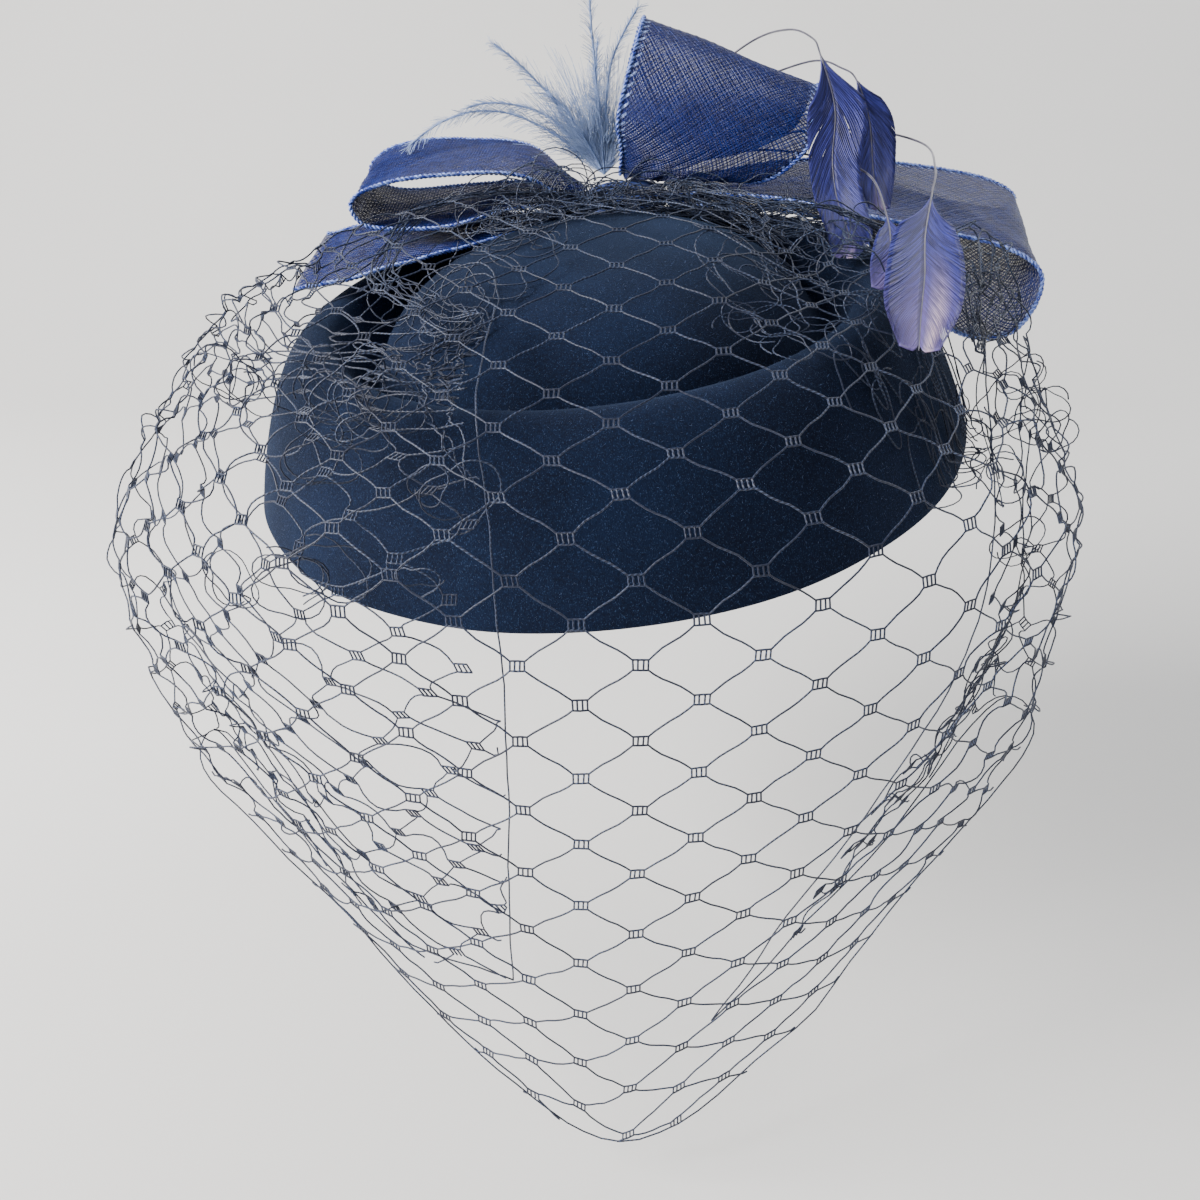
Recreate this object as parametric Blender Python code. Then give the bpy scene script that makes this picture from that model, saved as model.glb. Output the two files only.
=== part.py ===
"""A blocked felt hat with a face veil, horsehair braid loops, a plume and leaf feathers.

Metres, +Z up. The front of the hat faces -Y, and +X is at the viewer's right. The origin is the
centre of the felt's lower edge, where the hat sits on a head.
"""

import math
from collections import namedtuple

import bmesh
import bpy
from mathutils import Matrix, Vector

MM = 0.001

# How the hat is worn: its lower edge leans forward and towards the viewer's left
TILT_FORWARD = math.radians(6.5)
TILT_SIDE = math.radians(6.3)

# Clear space between pieces that touch
GAP = 0.3 * MM

# Felt body
RIM_RADIUS = 95 * MM
WALL_HEIGHT = 40 * MM
CROWN_RISE = 14 * MM
GROOVE_DEPTH = 13 * MM
FELT_THICKNESS = 2.6 * MM
CROWN_OVAL = 0.045
FELT_SEGMENTS = 44

# Veil
VEIL_THICKNESS = 1.6 * MM
VEIL_STAND_OFF = 30 * MM
VEIL_REACH = RIM_RADIUS + VEIL_STAND_OFF
VEIL_DROP = 138 * MM
VEIL_STRAND = 1.6 * MM
VEIL_CELLS_ROUND = 10
VEIL_CELLS_DOWN = 5

# Braid loops, tail and binding
BRAID_WIDTH = 52 * MM
BRAID_THICKNESS = 1.2 * MM
LEFT_LOOP_LENGTH = 80 * MM
UPRIGHT_LOOP_LENGTH = 56 * MM
RIGHT_LOOP_LENGTH = 122 * MM
TAIL_LENGTH = 92 * MM
KNOT_LENGTH = 26 * MM
KNOT_WIDTH = 16 * MM
KNOT_HEIGHT = 11 * MM
KNOT_PLEATS = 10
PLEAT_DEPTH = 0.06
# Where the binding sits on the crown's back, as shares of RIM_RADIUS
KNOT_X = 0.10
KNOT_Y = 0.55

# Feathers and plume
FEATHER_LENGTH = 50 * MM
FEATHER_WIDTH = 17 * MM
FEATHER_THICKNESS = 1.2 * MM
QUILL_THICKNESS = 1.4 * MM
FEATHER_FACING = (1.0, 0.25, 0.0)
PLUME_LENGTH = 58 * MM
PLUME_LOCK_WIDTH = 6 * MM
PLUME_HEAD_RADIUS = 4 * MM

# Hair comb
COMB_SPAN = math.radians(38)
COMB_THICKNESS = 1.6 * MM
COMB_BAR_HEIGHT = 8 * MM
COMB_TEETH = 10
COMB_TOOTH_LENGTH = 20 * MM
COMB_SEAT = 2 * MM

# Where each piece leaves the binding, as a direction from its middle
LEFT_SIDE = Vector((-1.0, 0.0, 0.0))
LOWER_LEFT_SIDE = Vector((-0.85, 0.10, -0.50))
TOP_SIDE = Vector((0.35, 0.10, 0.93))
RIGHT_SIDE = Vector((1.0, 0.0, 0.0))
BACK_SIDE = Vector((-0.30, 0.80, 0.50))
FRONT_SIDE = Vector((0.0, -0.80, 0.60))

ProfilePoint = namedtuple("ProfilePoint", "radius wall rise groove")
# From the crown's top outwards, as shares of RIM_RADIUS, WALL_HEIGHT, CROWN_RISE, GROOVE_DEPTH
FELT_PROFILE = (
    ProfilePoint(0.000, 1.00, 1.00, 0.00),
    ProfilePoint(0.170, 1.00, 0.96, 0.00),
    ProfilePoint(0.330, 1.00, 0.78, 0.00),
    ProfilePoint(0.460, 1.00, 0.42, 0.00),
    ProfilePoint(0.540, 1.00, 0.00, 0.00),
    ProfilePoint(0.585, 1.00, 0.00, 0.45),
    ProfilePoint(0.612, 1.00, 0.00, 0.86),
    ProfilePoint(0.640, 1.00, 0.00, 1.00),
    ProfilePoint(0.668, 1.00, 0.00, 0.84),
    ProfilePoint(0.690, 1.00, 0.00, 0.42),
    ProfilePoint(0.717, 1.00, 0.00, 0.10),
    ProfilePoint(0.757, 1.00, 0.00, 0.00),
    ProfilePoint(0.806, 0.96, 0.00, 0.00),
    ProfilePoint(0.855, 0.84, 0.00, 0.00),
    ProfilePoint(0.897, 0.67, 0.00, 0.00),
    ProfilePoint(0.937, 0.46, 0.00, 0.00),
    ProfilePoint(0.973, 0.22, 0.00, 0.00),
    ProfilePoint(1.000, 0.00, 0.00, 0.00),
)

VeilStation = namedtuple(
    "VeilStation",
    "root_x root_y root_z swell crest_x crest_y crest_z brow_x brow_y brow_z hem_x hem_y hem_z",
)
# From the left free edge round the front to the right free edge. Root and crest ride on the hat
# and tilt with it, in shares of RIM_RADIUS across and of WALL_HEIGHT up: the root is counted from
# the binding's front and the crest from the hat's middle. Swell lifts the net between them, as a
# share of the way across. Brow and hem hang level: shares of VEIL_REACH across and VEIL_DROP up.
VEIL_STATIONS = (
    VeilStation(-0.32, -0.90, 0.03, 0.04, -0.24, -0.92, 1.08, -0.18, -0.81, -0.12, -0.19, -0.82, -0.74),
    VeilStation(-0.44, -0.82, 0.03, 0.05, -0.56, -0.80, 1.04, -0.50, -0.71, -0.14, -0.42, -0.72, -0.72),
    VeilStation(-0.58, -0.62, 0.03, 0.06, -0.94, -0.42, 1.00, -0.82, -0.42, -0.16, -0.68, -0.50, -0.60),
    VeilStation(-0.60, -0.38, 0.09, 0.06, -1.02, 0.10, 1.02, -0.98, -0.20, -0.10, -0.84, -0.36, -0.50),
    VeilStation(-0.52, -0.22, 0.19, 0.08, -0.92, -0.24, 1.30, -0.97, -0.40, -0.08, -0.82, -0.50, -0.52),
    VeilStation(-0.34, -0.16, 0.20, 0.10, -0.68, -0.62, 1.26, -0.78, -0.72, -0.06, -0.52, -0.70, -0.69),
    VeilStation(-0.16, -0.07, 0.08, 0.10, -0.36, -0.88, 1.18, -0.42, -0.91, -0.04, -0.25, -0.87, -0.87),
    VeilStation(0.00, 0.00, 0.00, 0.10, 0.03, -0.98, 1.14, 0.02, -0.97, -0.03, 0.02, -0.95, -1.00),
    VeilStation(0.14, -0.09, 0.05, 0.08, 0.42, -0.88, 1.10, 0.44, -0.90, -0.01, 0.32, -0.86, -0.86),
    VeilStation(0.27, -0.22, 0.12, 0.00, 0.78, -0.62, 0.93, 0.76, -0.68, 0.00, 0.62, -0.66, -0.62),
    VeilStation(0.40, -0.34, 0.05, -0.02, 1.02, -0.18, 0.92, 0.90, -0.38, -0.02, 0.88, -0.44, -0.48),
    VeilStation(0.62, -0.38, -0.07, 0.00, 1.16, 0.12, 0.80, 0.90, -0.16, -0.10, 0.83, -0.34, -0.44),
    VeilStation(0.88, -0.44, -0.45, 0.00, 1.06, -0.10, 0.46, 0.79, -0.42, -0.16, 0.52, -0.62, -0.62),
    VeilStation(0.84, -0.74, -0.45, 0.00, 0.98, -0.36, 0.46, 0.66, -0.60, -0.20, 0.20, -0.81, -0.84),
)

BandRow = namedtuple("BandRow", "x y z across_x across_y across_z width cup")
# Each row is a place on the band's middle, counted from where it leaves the binding in shares of
# the loop's length, then the direction across the band, and its width and hollowness as shares
# of BRAID_WIDTH
LEFT_LOOP = (
    BandRow(0.00, 0.01, 0.01, 0.09, 0.99, -0.12, 0.24, 0.08),
    BandRow(-0.16, 0.13, 0.14, 0.04, 1.00, -0.06, 0.80, 0.03),
    BandRow(-0.43, 0.14, 0.19, 0.00, 1.00, -0.03, 1.00, 0.01),
    BandRow(-0.67, 0.13, 0.19, -0.05, 1.00, -0.03, 1.00, 0.00),
    BandRow(-0.79, 0.11, 0.13, -0.06, 1.00, -0.05, 1.00, 0.00),
    BandRow(-0.73, 0.10, 0.05, -0.06, 1.00, -0.05, 1.00, 0.00),
    BandRow(-0.48, 0.11, 0.02, 0.00, 1.00, -0.03, 1.00, 0.01),
    BandRow(-0.20, 0.11, 0.03, 0.04, 1.00, -0.06, 0.70, 0.01),
    BandRow(0.00, 0.01, -0.01, 0.09, 0.99, -0.12, 0.24, 0.00),
)
UPRIGHT_LOOP = (
    BandRow(0.00, -0.02, 0.01, 1.00, -0.05, 0.00, 0.18, 0.00),
    BandRow(0.25, -0.14, 0.05, 0.97, -0.16, -0.29, 0.72, 0.06),
    BandRow(0.38, -0.18, 0.20, 0.98, -0.14, -0.25, 1.00, 0.04),
    BandRow(0.47, -0.07, 0.43, 0.96, -0.24, -0.41, 1.00, 0.02),
    BandRow(0.52, 0.09, 0.52, 0.96, -0.24, -0.43, 1.00, 0.00),
    BandRow(0.49, 0.22, 0.45, 0.96, -0.24, -0.41, 1.00, 0.02),
    BandRow(0.39, 0.29, 0.21, 0.97, -0.12, -0.30, 0.95, 0.04),
    BandRow(0.23, 0.23, 0.06, 0.98, -0.07, -0.20, 0.62, 0.04),
    BandRow(0.00, 0.02, 0.01, 1.00, -0.05, 0.00, 0.18, 0.00),
)
RIGHT_LOOP = (
    BandRow(0.00, 0.01, 0.01, -0.01, 1.00, -0.06, 0.24, 0.05),
    BandRow(0.25, 0.06, -0.01, 0.00, 1.00, -0.01, 0.78, 0.03),
    BandRow(0.53, 0.05, -0.06, 0.06, 1.02, 0.08, 1.00, 0.02),
    BandRow(0.75, 0.02, -0.12, 0.11, 1.02, 0.11, 1.00, 0.00),
    BandRow(0.85, -0.02, -0.18, 0.12, 1.03, 0.17, 1.00, 0.00),
    BandRow(0.79, -0.05, -0.25, 0.20, 1.06, 0.48, 1.00, 0.00),
    BandRow(0.64, -0.02, -0.22, 0.16, 1.07, 0.57, 0.95, 0.02),
    BandRow(0.40, 0.06, -0.07, 0.01, 1.02, 0.13, 0.72, 0.03),
    BandRow(0.00, 0.01, -0.01, -0.01, 1.00, -0.06, 0.24, 0.02),
)
LEFT_TAIL = (
    BandRow(0.00, 0.00, 0.00, 0.29, 0.99, -0.15, 0.18, 0.00),
    BandRow(-0.21, 0.03, -0.01, 0.14, 1.00, -0.10, 0.60, 0.02),
    BandRow(-0.46, -0.04, 0.00, 0.10, 1.00, -0.04, 0.92, 0.02),
    BandRow(-0.71, -0.10, 0.00, 0.05, 1.01, 0.00, 1.00, 0.02),
    BandRow(-0.87, -0.11, -0.01, 0.00, 1.01, 0.02, 0.95, 0.00),
)

# Where each quill leaves the binding, as a direction from its middle
QUILL_ROOTS = {
    "feather_front": Vector((0.30, 0.90, 0.32)),
    "feather_back": Vector((0.62, 0.77, 0.14)),
    "feather_low": Vector((0.77, 0.25, 0.58)),
    "feather_right": Vector((0.76, 0.56, 0.33)),
}
FeatherRow = namedtuple("FeatherRow", "x y lift width")
# Each row is a place on the shaft past its root: shares of RIM_RADIUS across and of FEATHER_LENGTH
# above the rolled wall's top, and the blade's width as a share of FEATHER_WIDTH. No width is bare
# quill.
FEATHERS = {
    "feather_front": (
        FeatherRow(0.15, 0.70, 0.25, 0.00),
        FeatherRow(0.15, 0.76, 0.33, 0.00),
        FeatherRow(0.16, 0.81, 0.39, 0.00),
        FeatherRow(0.32, 0.89, 0.58, 0.00),
        FeatherRow(0.53, 0.86, 0.83, 0.00),
        FeatherRow(0.63, 0.69, 0.93, 0.00),
        FeatherRow(0.68, 0.54, 0.92, 0.00),
        FeatherRow(0.69, 0.45, 0.86, 0.10),
        FeatherRow(0.72, 0.39, 0.61, 0.95),
        FeatherRow(0.70, 0.31, 0.38, 0.85),
        FeatherRow(0.70, 0.23, 0.21, 0.78),
        FeatherRow(0.71, 0.10, 0.09, 0.70),
        FeatherRow(0.68, 0.00, 0.04, 0.40),
    ),
    "feather_back": (
        FeatherRow(0.20, 0.70, 0.24, 0.00),
        FeatherRow(0.23, 0.77, 0.33, 0.00),
        FeatherRow(0.24, 0.83, 0.39, 0.00),
        FeatherRow(0.48, 0.88, 0.57, 0.00),
        FeatherRow(0.69, 0.69, 0.75, 0.00),
        FeatherRow(0.77, 0.56, 0.74, 0.00),
        FeatherRow(0.80, 0.49, 0.69, 0.10),
        FeatherRow(0.83, 0.46, 0.49, 0.72),
        FeatherRow(0.83, 0.39, 0.26, 0.68),
        FeatherRow(0.83, 0.30, 0.10, 0.35),
    ),
    "feather_low": (
        FeatherRow(0.24, 0.56, 0.28, 0.00),
        FeatherRow(0.27, 0.55, 0.35, 0.00),
        FeatherRow(0.53, 0.53, 0.37, 0.00),
        FeatherRow(0.72, 0.40, 0.33, 0.00),
        FeatherRow(0.80, 0.27, 0.29, 0.00),
        FeatherRow(0.79, 0.00, 0.24, 0.06),
        FeatherRow(0.77, -0.16, 0.20, 0.42),
        FeatherRow(0.74, -0.29, 0.16, 0.50),
        FeatherRow(0.71, -0.41, 0.14, 0.38),
    ),
    "feather_right": (
        FeatherRow(0.25, 0.58, 0.22, 0.00),
        FeatherRow(0.28, 0.59, 0.28, 0.00),
        FeatherRow(0.56, 0.60, 0.41, 0.00),
        FeatherRow(0.83, 0.59, 0.39, 0.00),
        FeatherRow(0.97, 0.40, 0.37, 0.00),
        FeatherRow(0.94, 0.11, 0.38, 0.00),
        FeatherRow(0.90, -0.03, 0.33, 0.08),
        FeatherRow(0.84, -0.23, 0.25, 0.80),
        FeatherRow(0.80, -0.41, 0.19, 1.00),
        FeatherRow(0.76, -0.56, 0.12, 0.95),
        FeatherRow(0.73, -0.68, 0.05, 0.50),
    ),
}

PlumeLock = namedtuple("PlumeLock", "lean back length curl")
# Sideways lean in radians, lean back as a share of the reach, length as a share of PLUME_LENGTH,
# and how much further the tip leans
PLUME_LOCKS = (
    PlumeLock(-0.78, 0.14, 1.02, -0.55),
    PlumeLock(-0.62, 0.14, 0.75, -0.45),
    PlumeLock(-0.50, 0.14, 0.82, -0.14),
    PlumeLock(-0.38, 0.05, 0.46, -0.16),
    PlumeLock(0.02, 0.10, 1.00, 0.00),
    PlumeLock(-0.06, 0.28, 0.60, 0.12),
    PlumeLock(0.12, 0.34, 0.74, 0.20),
)


def look(name, colour, roughness, metallic=0.0):
    """A Principled material of one plain colour."""
    material = bpy.data.materials.new(name)
    material.use_nodes = True
    shader = material.node_tree.nodes["Principled BSDF"]
    shader.inputs["Base Color"].default_value = (*colour, 1.0)
    shader.inputs["Roughness"].default_value = roughness
    shader.inputs["Metallic"].default_value = metallic
    material.diffuse_color = (*colour, 1.0)
    return material


def smooth_through(rows, place):
    """Reads a smooth curve through rows of numbers at a place from 0 to 1."""
    reach = place * (len(rows) - 1)
    step = min(int(reach), len(rows) - 2)
    t = reach - step
    before = rows[max(step - 1, 0)]
    start, end = rows[step], rows[step + 1]
    after = rows[min(step + 2, len(rows) - 1)]
    found = []
    for a, b, c, d in zip(before, start, end, after):
        bend = 2 * a - 5 * b + 4 * c - d
        found.append(b + 0.5 * t * (c - a + t * (bend + t * (3 * (b - c) + d - a))))
    return found


def add_object(name, bm, material, parent=None):
    """Turns a bmesh into a smooth-shaded object with one material."""
    bmesh.ops.recalc_face_normals(bm, faces=bm.faces)
    mesh = bpy.data.meshes.new(name)
    bm.to_mesh(mesh)
    bm.free()
    mesh.shade_smooth()
    mesh.set_sharp_from_angle(angle=math.radians(40))
    mesh.materials.append(material)
    made = bpy.data.objects.new(name, mesh)
    bpy.context.scene.collection.objects.link(made)
    made.parent = parent
    return made


def thicken(made, thickness, offset=0.0, even=True):
    """Gives a sheet its thickness, in the middle of it or to one side."""
    solid = made.modifiers.new("Thickness", "SOLIDIFY")
    solid.thickness = thickness
    solid.offset = offset
    solid.use_even_offset = even


def felt_point(row):
    """Radius and height of one row of the felt's profile."""
    height = row.wall * WALL_HEIGHT + row.rise * CROWN_RISE - row.groove * GROOVE_DEPTH
    return row.radius * RIM_RADIUS, height


def felt_height(radius):
    """Height of the felt's outer face at a radius inside the rolled wall's top."""
    points = [felt_point(row) for row in FELT_PROFILE]
    for (inner, low), (outer, high) in zip(points, points[1:]):
        if inner <= radius <= outer:
            return low + (high - low) * (radius - inner) / (outer - inner)
    return 0.0


def felt_body(material, hat):
    """Crown, groove and rolled wall, blocked from one felt."""
    bm = bmesh.new()
    profile = [bm.verts.new((radius, 0, height)) for radius, height in map(felt_point, FELT_PROFILE)]
    edges = [bm.edges.new(pair) for pair in zip(profile, profile[1:])]
    bmesh.ops.spin(
        bm, geom=profile + edges, cent=(0, 0, 0), axis=(0, 0, 1), dvec=(0, 0, 0),
        angle=math.tau, steps=FELT_SEGMENTS, use_merge=True,
    )
    bmesh.ops.remove_doubles(bm, verts=bm.verts, dist=0.01 * MM)
    groove = max(FELT_PROFILE, key=lambda row: row.groove).radius * RIM_RADIUS
    for vert in bm.verts:
        radius = vert.co.xy.length
        share = max(0.0, 1.0 - radius / groove) * min(1.0, radius / groove) * 4
        angle = math.atan2(vert.co.y, vert.co.x)
        vert.co.xy *= 1.0 - CROWN_OVAL * math.cos(2 * angle) * share
    made = add_object("felt_body", bm, material, hat)
    thicken(made, FELT_THICKNESS, -1.0)
    return made


def knot_place():
    """Middle of the binding, resting on the back of the crown."""
    place = Vector((KNOT_X * RIM_RADIUS, KNOT_Y * RIM_RADIUS, 0))
    front = place.length - 0.35 * KNOT_WIDTH
    place.z = felt_height(front) + KNOT_HEIGHT / 2
    return place


def knot_side(direction, clear=0.0):
    """A place on the pleated binding, from its middle, or a little way out from it."""
    unit = direction.normalized()
    pleat = 1.0 + PLEAT_DEPTH * math.cos(KNOT_PLEATS * math.atan2(unit.y, unit.z))
    half = Vector((KNOT_LENGTH, KNOT_WIDTH, KNOT_HEIGHT)) / 2
    outward = Vector((unit.x / half.x, unit.y / half.y, unit.z / half.z)).normalized()
    return unit * Vector((1, pleat, pleat)) * half + outward * clear


def veil_spine(station, hat):
    """The five places that one veil station passes, from its root to its hem."""
    on_hat = Vector((RIM_RADIUS, RIM_RADIUS, WALL_HEIGHT))
    level = Vector((VEIL_REACH, VEIL_REACH, VEIL_DROP))
    gather = knot_place() + knot_side(FRONT_SIDE, GAP + VEIL_THICKNESS / 2)
    root = hat @ (gather + Vector(station[0:3]) * on_hat)
    swell = station[3]
    crest = hat @ (Vector(station[4:7]) * on_hat)
    brow = Vector(station[7:10]) * level
    hem = Vector(station[10:13]) * level
    over = root.lerp(crest, 0.5)
    over.z += swell * (crest - root).xy.length
    return root, over, crest, brow, hem


def veil_point(across, down, hat):
    """A place on the veil: across from its left to its right free edge, down from root to hem."""
    station = smooth_through(VEIL_STATIONS, across)
    return Vector(smooth_through(veil_spine(station, hat), down))


def cut_cell(bm, vert_at, corners, keep):
    """One diamond of the net: a ring of strand round a hole, drawn on the veil's grid."""
    ring = []
    for start, end in zip(corners, corners[1:] + corners[:1]):
        ring += [start, ((start[0] + end[0]) / 2, (start[1] + end[1]) / 2)]
    middle = [sum(axis) / len(corners) for axis in zip(*corners)]
    hole = [tuple(m + keep * (p - m) for m, p in zip(middle, place)) for place in ring]
    outer, inner = [vert_at(place) for place in ring], [vert_at(place) for place in hole]
    for i in range(len(ring)):
        bm.faces.new((outer[i - 1], outer[i], inner[i], inner[i - 1]))


def veil(material, hat):
    """Coarse diamond net, cut through, over the hat and in front of the face."""
    bm = bmesh.new()
    found = {}
    columns, rows = 2 * VEIL_CELLS_ROUND, 2 * VEIL_CELLS_DOWN

    def vert_at(place):
        key = (round(place[0], 4), round(place[1], 4))
        if key not in found:
            found[key] = bm.verts.new(veil_point(key[0] / columns, key[1] / rows, hat))
        return found[key]

    half_cell = math.pi * VEIL_REACH / columns
    keep = 1.0 - VEIL_STRAND / (math.sqrt(2) * half_cell)
    for column in range(columns + 1):
        for row in range(1 - column % 2, rows + 1, 2):
            around = [(column + 1, row), (column, row + 1), (column - 1, row), (column, row - 1)]
            inside = [(c, r) for c, r in around if 0 <= c <= columns and 0 <= r <= rows]
            cut_cell(bm, vert_at, inside, keep)
    made = add_object("veil", bm, material)
    thicken(made, VEIL_THICKNESS, even=False)
    return made


def band_grid(rows, length, steps, lanes):
    """Points of a band: one list across it for each step along it."""
    grid = []
    for step in range(steps + 1):
        x, y, z, across_x, across_y, across_z, width, cup = smooth_through(rows, step / steps)
        ahead = smooth_through(rows, min(1.0, (step + 0.2) / steps))[:3]
        behind = smooth_through(rows, max(0.0, (step - 0.2) / steps))[:3]
        across = Vector((across_x, across_y, across_z)).normalized()
        hollow = across.cross(Vector(ahead) - Vector(behind)).normalized()
        middle = Vector((x, y, z)) * length
        lane = []
        for i in range(lanes + 1):
            side = 2 * i / lanes - 1
            bulge = cup * BRAID_WIDTH * (1 - side * side)
            lane.append(middle + across * side * width * BRAID_WIDTH / 2 + hollow * bulge)
        grid.append(lane)
    return grid


def braid_band(name, rows, length, leaves, material, knot, steps=20, lanes=4):
    """A strip of horsehair braid along its rows, gathered narrow where it leaves the binding."""
    bm = bmesh.new()
    verts = [[bm.verts.new(point) for point in lane] for lane in band_grid(rows, length, steps, lanes)]
    for here, there in zip(verts, verts[1:]):
        for i in range(lanes):
            bm.faces.new((here[i], here[i + 1], there[i + 1], there[i]))
    made = add_object(name, bm, material, knot)
    made.location = leaves
    thicken(made, BRAID_THICKNESS)
    return made


def strip(bm, sections):
    """A closed bar through flattened six-sided sections of (middle, half across, half thick)."""
    rings = []
    for middle, across, thick in sections:
        sides = ((1, 0), (0.5, 1), (-0.5, 1), (-1, 0), (-0.5, -1), (0.5, -1))
        rings.append([bm.verts.new(middle + across * a + thick * b) for a, b in sides])
    for here, there in zip(rings, rings[1:]):
        for i in range(6):
            bm.faces.new((here[i - 1], here[i], there[i], there[i - 1]))
    bm.faces.new(rings[0])
    bm.faces.new(reversed(rings[-1]))


def feather(name, rows, material, hat):
    """A leaf-cut blade hanging from its thin quill, as one body."""
    bm = bmesh.new()
    shaft = [(*(knot_place() + knot_side(QUILL_ROOTS[name], GAP + QUILL_THICKNESS / 4)), 0.0)]
    for x, y, lift, width in rows:
        shaft.append((x * RIM_RADIUS, y * RIM_RADIUS, WALL_HEIGHT + lift * FEATHER_LENGTH, width))
    steps = 2 * (len(shaft) - 1)
    places = []
    for step in range(steps + 1):
        *middle, width = smooth_through(shaft, step / steps)
        places.append((Vector(middle), Vector(FEATHER_FACING), max(width, 0.0)))
    sections = []
    for i, (middle, across, width) in enumerate(places):
        along = (places[min(i + 1, steps)][0] - places[max(i - 1, 0)][0]).normalized()
        across = (across - along * across.dot(along)).normalized()
        half = max(width * FEATHER_WIDTH, QUILL_THICKNESS) / 2
        thick = (FEATHER_THICKNESS if width > 0.05 else QUILL_THICKNESS) / 2
        sections.append((middle, across * half, along.cross(across) * thick))
    strip(bm, sections)
    return add_object(name, bm, material, hat)


def braid_knot(material, hat):
    """The gathered binding on the back of the crown, and the empty at its middle."""
    place = bpy.data.objects.new("knot_place", None)
    bpy.context.scene.collection.objects.link(place)
    place.parent = hat
    place.location = knot_place()
    bm = bmesh.new()
    bmesh.ops.create_uvsphere(bm, u_segments=20, v_segments=8, radius=1.0)
    for vert in bm.verts:
        vert.co = knot_side(vert.co)
    add_object("crin_knot", bm, material, place)
    return place


def plume_locks():
    """Sections of each wispy lock of the plume, from its head outwards."""
    for lean, back, length, curl in PLUME_LOCKS:
        sections = []
        for step in range(6):
            t = step / 5
            angle = lean + curl * t * t
            reach = PLUME_LENGTH * length * t
            middle = Vector((math.sin(angle) * reach, back * reach, math.cos(angle) * reach))
            across = Vector((math.cos(angle), 0, -math.sin(angle)))
            fullness = 0.35 + 0.65 * math.sin(math.pi * (0.15 + 0.75 * t))
            width = PLUME_LOCK_WIDTH * fullness
            taper = 1.0 - 0.6 * t
            sections.append((middle, across * width / 2, Vector((0, taper * PLUME_LOCK_WIDTH / 5, 0))))
        yield sections


def plume(material, knot):
    """Ostrich plume: tapering locks fused to one small head behind the knot."""
    bm = bmesh.new()
    bmesh.ops.create_uvsphere(bm, u_segments=10, v_segments=6, radius=PLUME_HEAD_RADIUS)
    made = add_object("plume", bm, material, knot)
    made.location = knot_side(BACK_SIDE, GAP + PLUME_HEAD_RADIUS)
    for number, sections in enumerate(plume_locks()):
        lock = bmesh.new()
        strip(lock, sections)
        cutter = add_object(f"plume_lock_{number}", lock, material, made)
        cutter.hide_render = True
        cutter.display_type = "WIRE"
        union = made.modifiers.new(cutter.name, "BOOLEAN")
        union.operation = "UNION"
        union.solver = "EXACT"
        union.object = cutter
    return made


def hair_comb(material, hat):
    """Plain comb along the inside of the felt at the back of the hat, teeth down."""
    bm = bmesh.new()
    (outer, high), (wide, low) = felt_point(FELT_PROFILE[-2]), felt_point(FELT_PROFILE[-1])
    slope = (wide - outer) / (high - low)
    top = COMB_SEAT + COMB_BAR_HEIGHT
    flats = RIM_RADIUS * (1 - math.cos(math.pi / FELT_SEGMENTS))
    behind = wide - slope * top - FELT_THICKNESS * math.hypot(1, slope) - flats - GAP
    columns = 2 * COMB_TEETH - 1
    rings = []
    for column in range(columns + 1):
        angle = math.pi / 2 + COMB_SPAN * (column / columns - 0.5)
        outward = Vector((math.cos(angle), math.sin(angle), 0))
        ring = []
        for radius, height in (
            (behind - COMB_THICKNESS, COMB_SEAT), (behind, COMB_SEAT),
            (behind, top), (behind - COMB_THICKNESS, top),
        ):
            ring.append(bm.verts.new(outward * radius + Vector((0, 0, height))))
        rings.append(ring)
    feet = []
    for column, (here, there) in enumerate(zip(rings, rings[1:])):
        for i in range(4):
            face = bm.faces.new((here[i - 1], here[i], there[i], there[i - 1]))
            if i == 1 and column % 2 == 0:
                feet.append(face)
    bm.faces.new(rings[0])
    bm.faces.new(reversed(rings[-1]))
    for foot in feet:
        tooth = bmesh.ops.extrude_discrete_faces(bm, faces=[foot])["faces"]
        bmesh.ops.translate(bm, verts=tooth[0].verts, vec=(0, 0, -COMB_TOOTH_LENGTH))
    return add_object("hair_comb", bm, material, hat)


def build():
    """Clears the scene and makes every piece."""
    for old in list(bpy.data.objects):
        bpy.data.objects.remove(old, do_unlink=True)
    hat = bpy.data.objects.new("worn_tilt", None)
    bpy.context.scene.collection.objects.link(hat)
    tilt = Matrix.Rotation(TILT_FORWARD, 4, "X") @ Matrix.Rotation(-TILT_SIDE, 4, "Y")
    hat.matrix_world = tilt

    felt = look("navy_felt", (0.012, 0.030, 0.085), 0.95)
    net = look("navy_net", (0.015, 0.022, 0.060), 0.60)
    crin = look("blue_crin", (0.020, 0.050, 0.260), 0.35)
    leaf = look("violet_feather", (0.070, 0.080, 0.380), 0.50)
    ostrich = look("dusty_plume", (0.100, 0.160, 0.340), 0.80)
    plastic = look("comb_plastic", (0.010, 0.012, 0.020), 0.40)

    felt_body(felt, hat)
    veil(net, tilt)
    knot = braid_knot(crin, hat)
    beside, against = GAP, GAP + BRAID_THICKNESS / 2
    for name, rows, length, side, clear in (
        ("crin_loop_left", LEFT_LOOP, LEFT_LOOP_LENGTH, LEFT_SIDE, beside),
        ("crin_loop_upright", UPRIGHT_LOOP, UPRIGHT_LOOP_LENGTH, TOP_SIDE, against),
        ("crin_loop_right", RIGHT_LOOP, RIGHT_LOOP_LENGTH, RIGHT_SIDE, beside),
        ("crin_tail_left", LEFT_TAIL, TAIL_LENGTH, LOWER_LEFT_SIDE, against),
    ):
        braid_band(name, rows, length, knot_side(side, clear), crin, knot)
    for name, rows in FEATHERS.items():
        feather(name, rows, leaf, hat)
    plume(ostrich, knot)
    hair_comb(plastic, hat)


build()
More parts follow.
